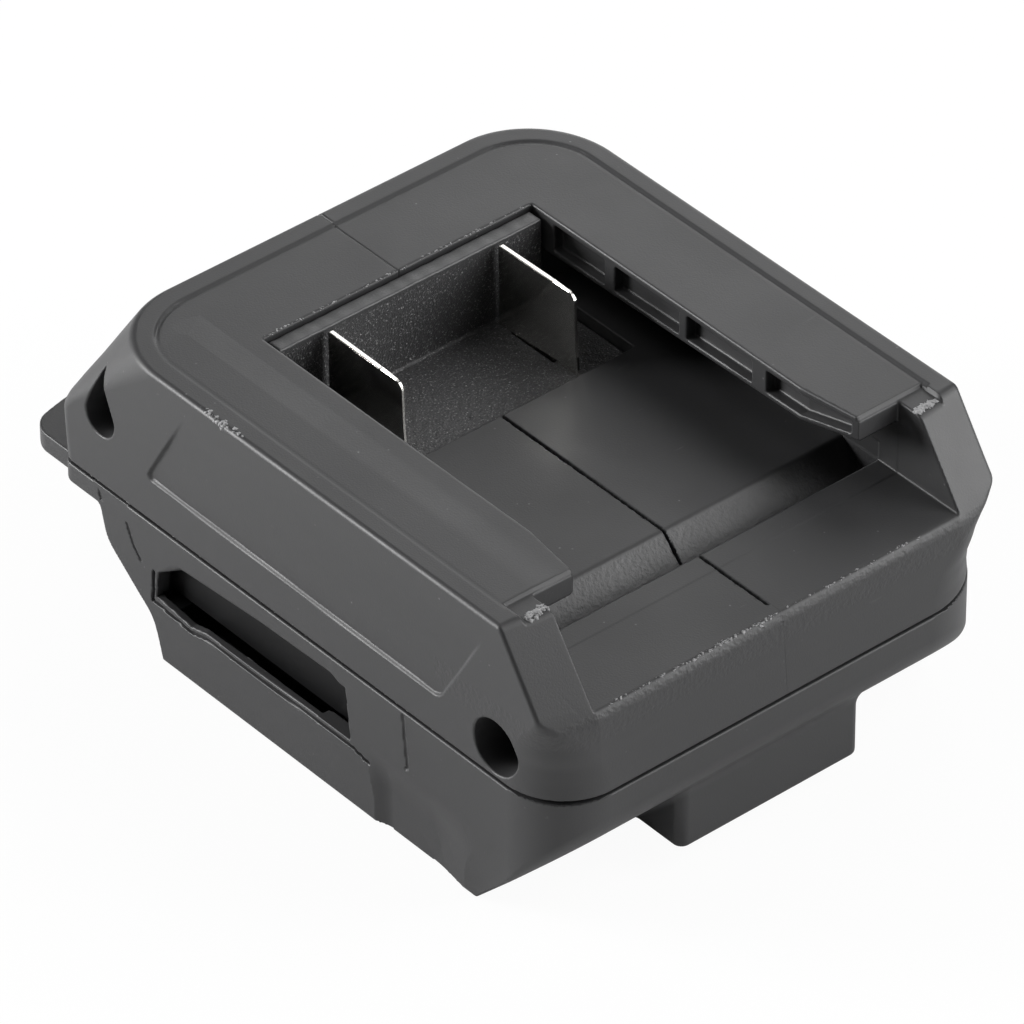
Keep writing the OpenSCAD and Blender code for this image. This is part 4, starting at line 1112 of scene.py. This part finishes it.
def blade(name, side):
    """Rings of one outline in y and z: each ring has its own x and is drawn in by an edge
    radius. The front of the ring is thinner past the coined step."""
    top, rear, lead = -1.0, -3.7, -19.7
    outline = np.concatenate([
        arc((rear - 0.3, top - 0.3), 0.3, 0, 90, 4),
        [[-14.2, top], [COIN_Y, top - 0.05], [-15.2, top - 0.02]],
        arc((lead + 1.6, top - 1.6), 1.6, 90, 180, 9),
        [[-19.9, -8.0], [-20.4, -14.8], [-15.6, -14.8], [-15.6, -22.0], [-6.4, -22.0],
         [-6.4, -14.8], [rear, -14.8], [rear, -8.0]]])
    inwards = unit(np.array([-11.0, -9.0]) - outline)
    half = np.where(outline[:, 0] < COIN_Y, HALF_COINED, HALF_THICK)
    rings = []
    for draw, share in ((0.12, -1.0), (0.0, -0.72), (0.0, 0.72), (0.12, 1.0)):
        flat = outline + inwards * draw
        splay = 0.2 * np.clip((-flat[:, 0] - 4) / 16, 0, 1) * side
        rings.append(np.stack([side * BLADE_X + splay + share * half, flat[:, 0], flat[:, 1]], 1))
    n = len(outline)
    ring, spot = np.meshgrid(np.arange(3), np.arange(n), indexing="ij")
    after = (spot + 1) % n
    sides = np.stack([ring * n + spot, ring * n + after, (ring + 1) * n + after,
                      (ring + 1) * n + spot], -1).reshape(-1, 4)
    made = bpy.data.meshes.new(name)
    low, high = list(range(n))[::-1], list(range(3 * n, 4 * n))
    made.from_pydata(place(np.concatenate(rings)).tolist(), [], sides.tolist() + [low, high])
    made.update()
    return linked(name, made, plated_brass)


blades = [blade("plated_blade_right", 1), blade("plated_blade_left", -1)]
print("blades:", [b.name for b in blades])

# %% [markdown]
# The lever springs are wound from music wire. A tube of ten sides follows a helix, and
# three quarters of a curl at each end are almost closed, as on a cut spring.

# %% Lever springs
COIL_X, COIL_Y, COIL_Z, COIL_LENGTH = 29.4, -20, -32.45, 6.8
COIL_RADIUS, WIRE_RADIUS, END_ROOM = 1.9, 0.25, 0.32
TURNS, POINTS_A_TURN = 7, 28


def coil(name, side):
    """Helix: angle grows evenly, x grows with it except in the closed end curls. The tube's
    ring lies across the wire: r_wire (cos v, sin v) on the outward and sideways directions."""
    turns = np.linspace(0, TURNS, TURNS * POINTS_A_TURN)
    share = np.interp(turns, [0, 0.75, TURNS - 0.75, TURNS], [0.0, 0.06, 0.94, 1.0])
    x = COIL_X + END_ROOM + share * (COIL_LENGTH - 2 * END_ROOM)
    angle = 2 * np.pi * turns
    outward = np.stack([0 * angle, np.cos(angle), np.sin(angle)], 1)
    middle = np.stack([x, COIL_Y + COIL_RADIUS * np.cos(angle),
                       COIL_Z + COIL_RADIUS * np.sin(angle)], 1)
    v = np.linspace(0, 2 * np.pi, 10, endpoint=False)
    ring = middle[:, None] + WIRE_RADIUS * (np.cos(v)[None, :, None] * outward[:, None]
                                            + np.sin(v)[None, :, None] * np.array([1.0, 0, 0]))
    ring[..., 0] *= side
    n, m = len(turns), len(v)
    i, j = np.meshgrid(np.arange(n - 1), np.arange(m), indexing="ij")
    k = (j + 1) % m
    quads = np.stack([i * m + j, (i + 1) * m + j, (i + 1) * m + k, i * m + k], -1).reshape(-1, 4)
    made = bpy.data.meshes.new(name)
    faces = quads.tolist() + [list(range(m)), list(range((n - 1) * m, n * m))[::-1]]
    if side < 0:
        faces = [f[::-1] for f in faces]
    made.from_pydata(place(ring.reshape(-1, 3)).tolist(), [], faces)
    made.polygons.foreach_set("use_smooth", [True] * len(quads) + [False, False])
    made.update()
    return linked(name, made, drawn_steel)


springs = [coil("coil_spring_right", 1), coil("coil_spring_left", -1)]
print("springs:", [s.name for s in springs])

# %% [markdown]
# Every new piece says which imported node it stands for, which body carries it and which finish
# of the record it wears. The springs flatten as their lever is pressed.

# %% Bodies, nodes and finishes
ROLES = [
    (left_half, "upper_housing_left", "shell_plastic"),
    (right_half, "upper_housing_right", "shell_plastic"),
    (left_crumbs, "upper_housing_left", "shell_plastic"),
    (right_crumbs, "upper_housing_right", "shell_plastic"),
    (lower_half, "lower_housing", "shell_plastic"),
    (block, "terminal_block", "terminal_plastic"),
    (blades[0], "blade_positive", "plated_contact"),
    (blades[1], "blade_negative", "plated_contact"),
    (springs[0], "lever_spring_right", "plain_steel"),
    (springs[1], "lever_spring_left", "plain_steel"),
]
for piece, node, slot in ROLES:
    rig.ride(piece, "housing")
    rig.replaces(piece, node)
    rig.slot(piece, slot)
for piece, joint, side in ((springs[0], "release_right", 1), (springs[1], "release_left", -1)):
    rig.squash(piece, joint, axis=(1, 0, 0), anchor=(side * 0.0294, 0.0025, 0.01795), keep=0.79)
print("pieces placed:", len(ROLES))

# %% [markdown]
# The object lies on a white table between six soft lights, which stand a metre away. Their
# strengths were set until each face was about as bright as in the photograph. To the camera the
# table looks white, and it still takes a shadow.

# %% Table and light
def white_to_camera(name, hidden_share):
    """White paper: a matt surface that the camera sees mostly as plain white."""
    made, tree, _ = new_material(name)
    matt = add(tree, "BsdfDiffuse", Color=(0.9, 0.9, 0.9, 1))
    glow = add(tree, "Emission", Color=(1, 1, 1, 1), Strength=1.0)
    seen = times(tree, add(tree, "LightPath").outputs["Is Camera Ray"], hidden_share)
    return surfaced(made, add(tree, "MixShader", i0=seen, i1=matt.outputs[0], i2=glow.outputs[0]))


TABLE_HALF, TABLE_Z = 1.5, -0.0002
table_mesh = bpy.data.meshes.new("table")
table_mesh.from_pydata([(x * TABLE_HALF, y * TABLE_HALF, TABLE_Z)
                        for x, y in ((-1, -1), (1, -1), (1, 1), (-1, 1))], [], [(0, 1, 2, 3)])
table = linked("table", table_mesh, white_to_camera("white_paper", 0.95))
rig.stage(table)

world = bpy.data.worlds.new("studio")
bpy.context.scene.world = world
world.use_nodes = True
sky = world.node_tree
sky.nodes.clear()
level_light = ramp(sky, add(sky, "LightPath").outputs["Is Camera Ray"], 0.0, 1.0, 0.02, 1.0)
shine = add(sky, "Background", Color=(1, 1, 1, 1), Strength=level_light)
sky.links.new(shine.outputs[0], sky.nodes.new("ShaderNodeOutputWorld").inputs[0])

MIDDLE = Vector((0, 0, 0.03))
LIGHTS = [("left_rear_low", 315, 15, 0.4, 14.4), ("right_front_low", 135, 15, 0.4, 5.6),
          ("right_front_high", 135, 42, 0.6, 5.0), ("right_rear_low", 45, 15, 0.4, 1.8),
          ("right_rear_high", 55, 42, 0.6, 1.9), ("left_top", 300, 68, 0.6, 1.5)]


def soft_light(name, azimuth, elevation, size, watts):
    """A square lamp of one size in metres that looks at the object from a metre away, in the
    direction (sin a cos e, cos a cos e, sin e)."""
    around, above = math.radians(azimuth), math.radians(elevation)
    lamp = bpy.data.lights.new(name, "AREA")
    lamp.shape, lamp.size, lamp.energy = "SQUARE", size, watts
    holder = bpy.data.objects.new(name, lamp)
    bpy.context.scene.collection.objects.link(holder)
    at = MIDDLE + Vector((math.sin(around) * math.cos(above), math.cos(around) * math.cos(above),
                          math.sin(above)))
    holder.location = at
    holder.rotation_euler = (MIDDLE - at).to_track_quat("-Z", "Y").to_euler()


for name, azimuth, elevation, size, watts in LIGHTS:
    soft_light("light_" + name, azimuth, elevation, size, watts)
print("lights ready:", len(LIGHTS))

# %% [markdown]
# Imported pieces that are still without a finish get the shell's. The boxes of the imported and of
# the built model go to a small file, so that they can be compared.

# %% Finish
for name, obj in frame["nodes"].items():
    if not obj.data.materials or obj.data.materials[0] is None:
        obj.data.materials.clear()
        obj.data.materials.append(shell_plastic)
json.dump({"cad": cad_bounds, "visual": plain(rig.bounds())}, open("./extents.json", "w"))
print(json.load(open("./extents.json")))
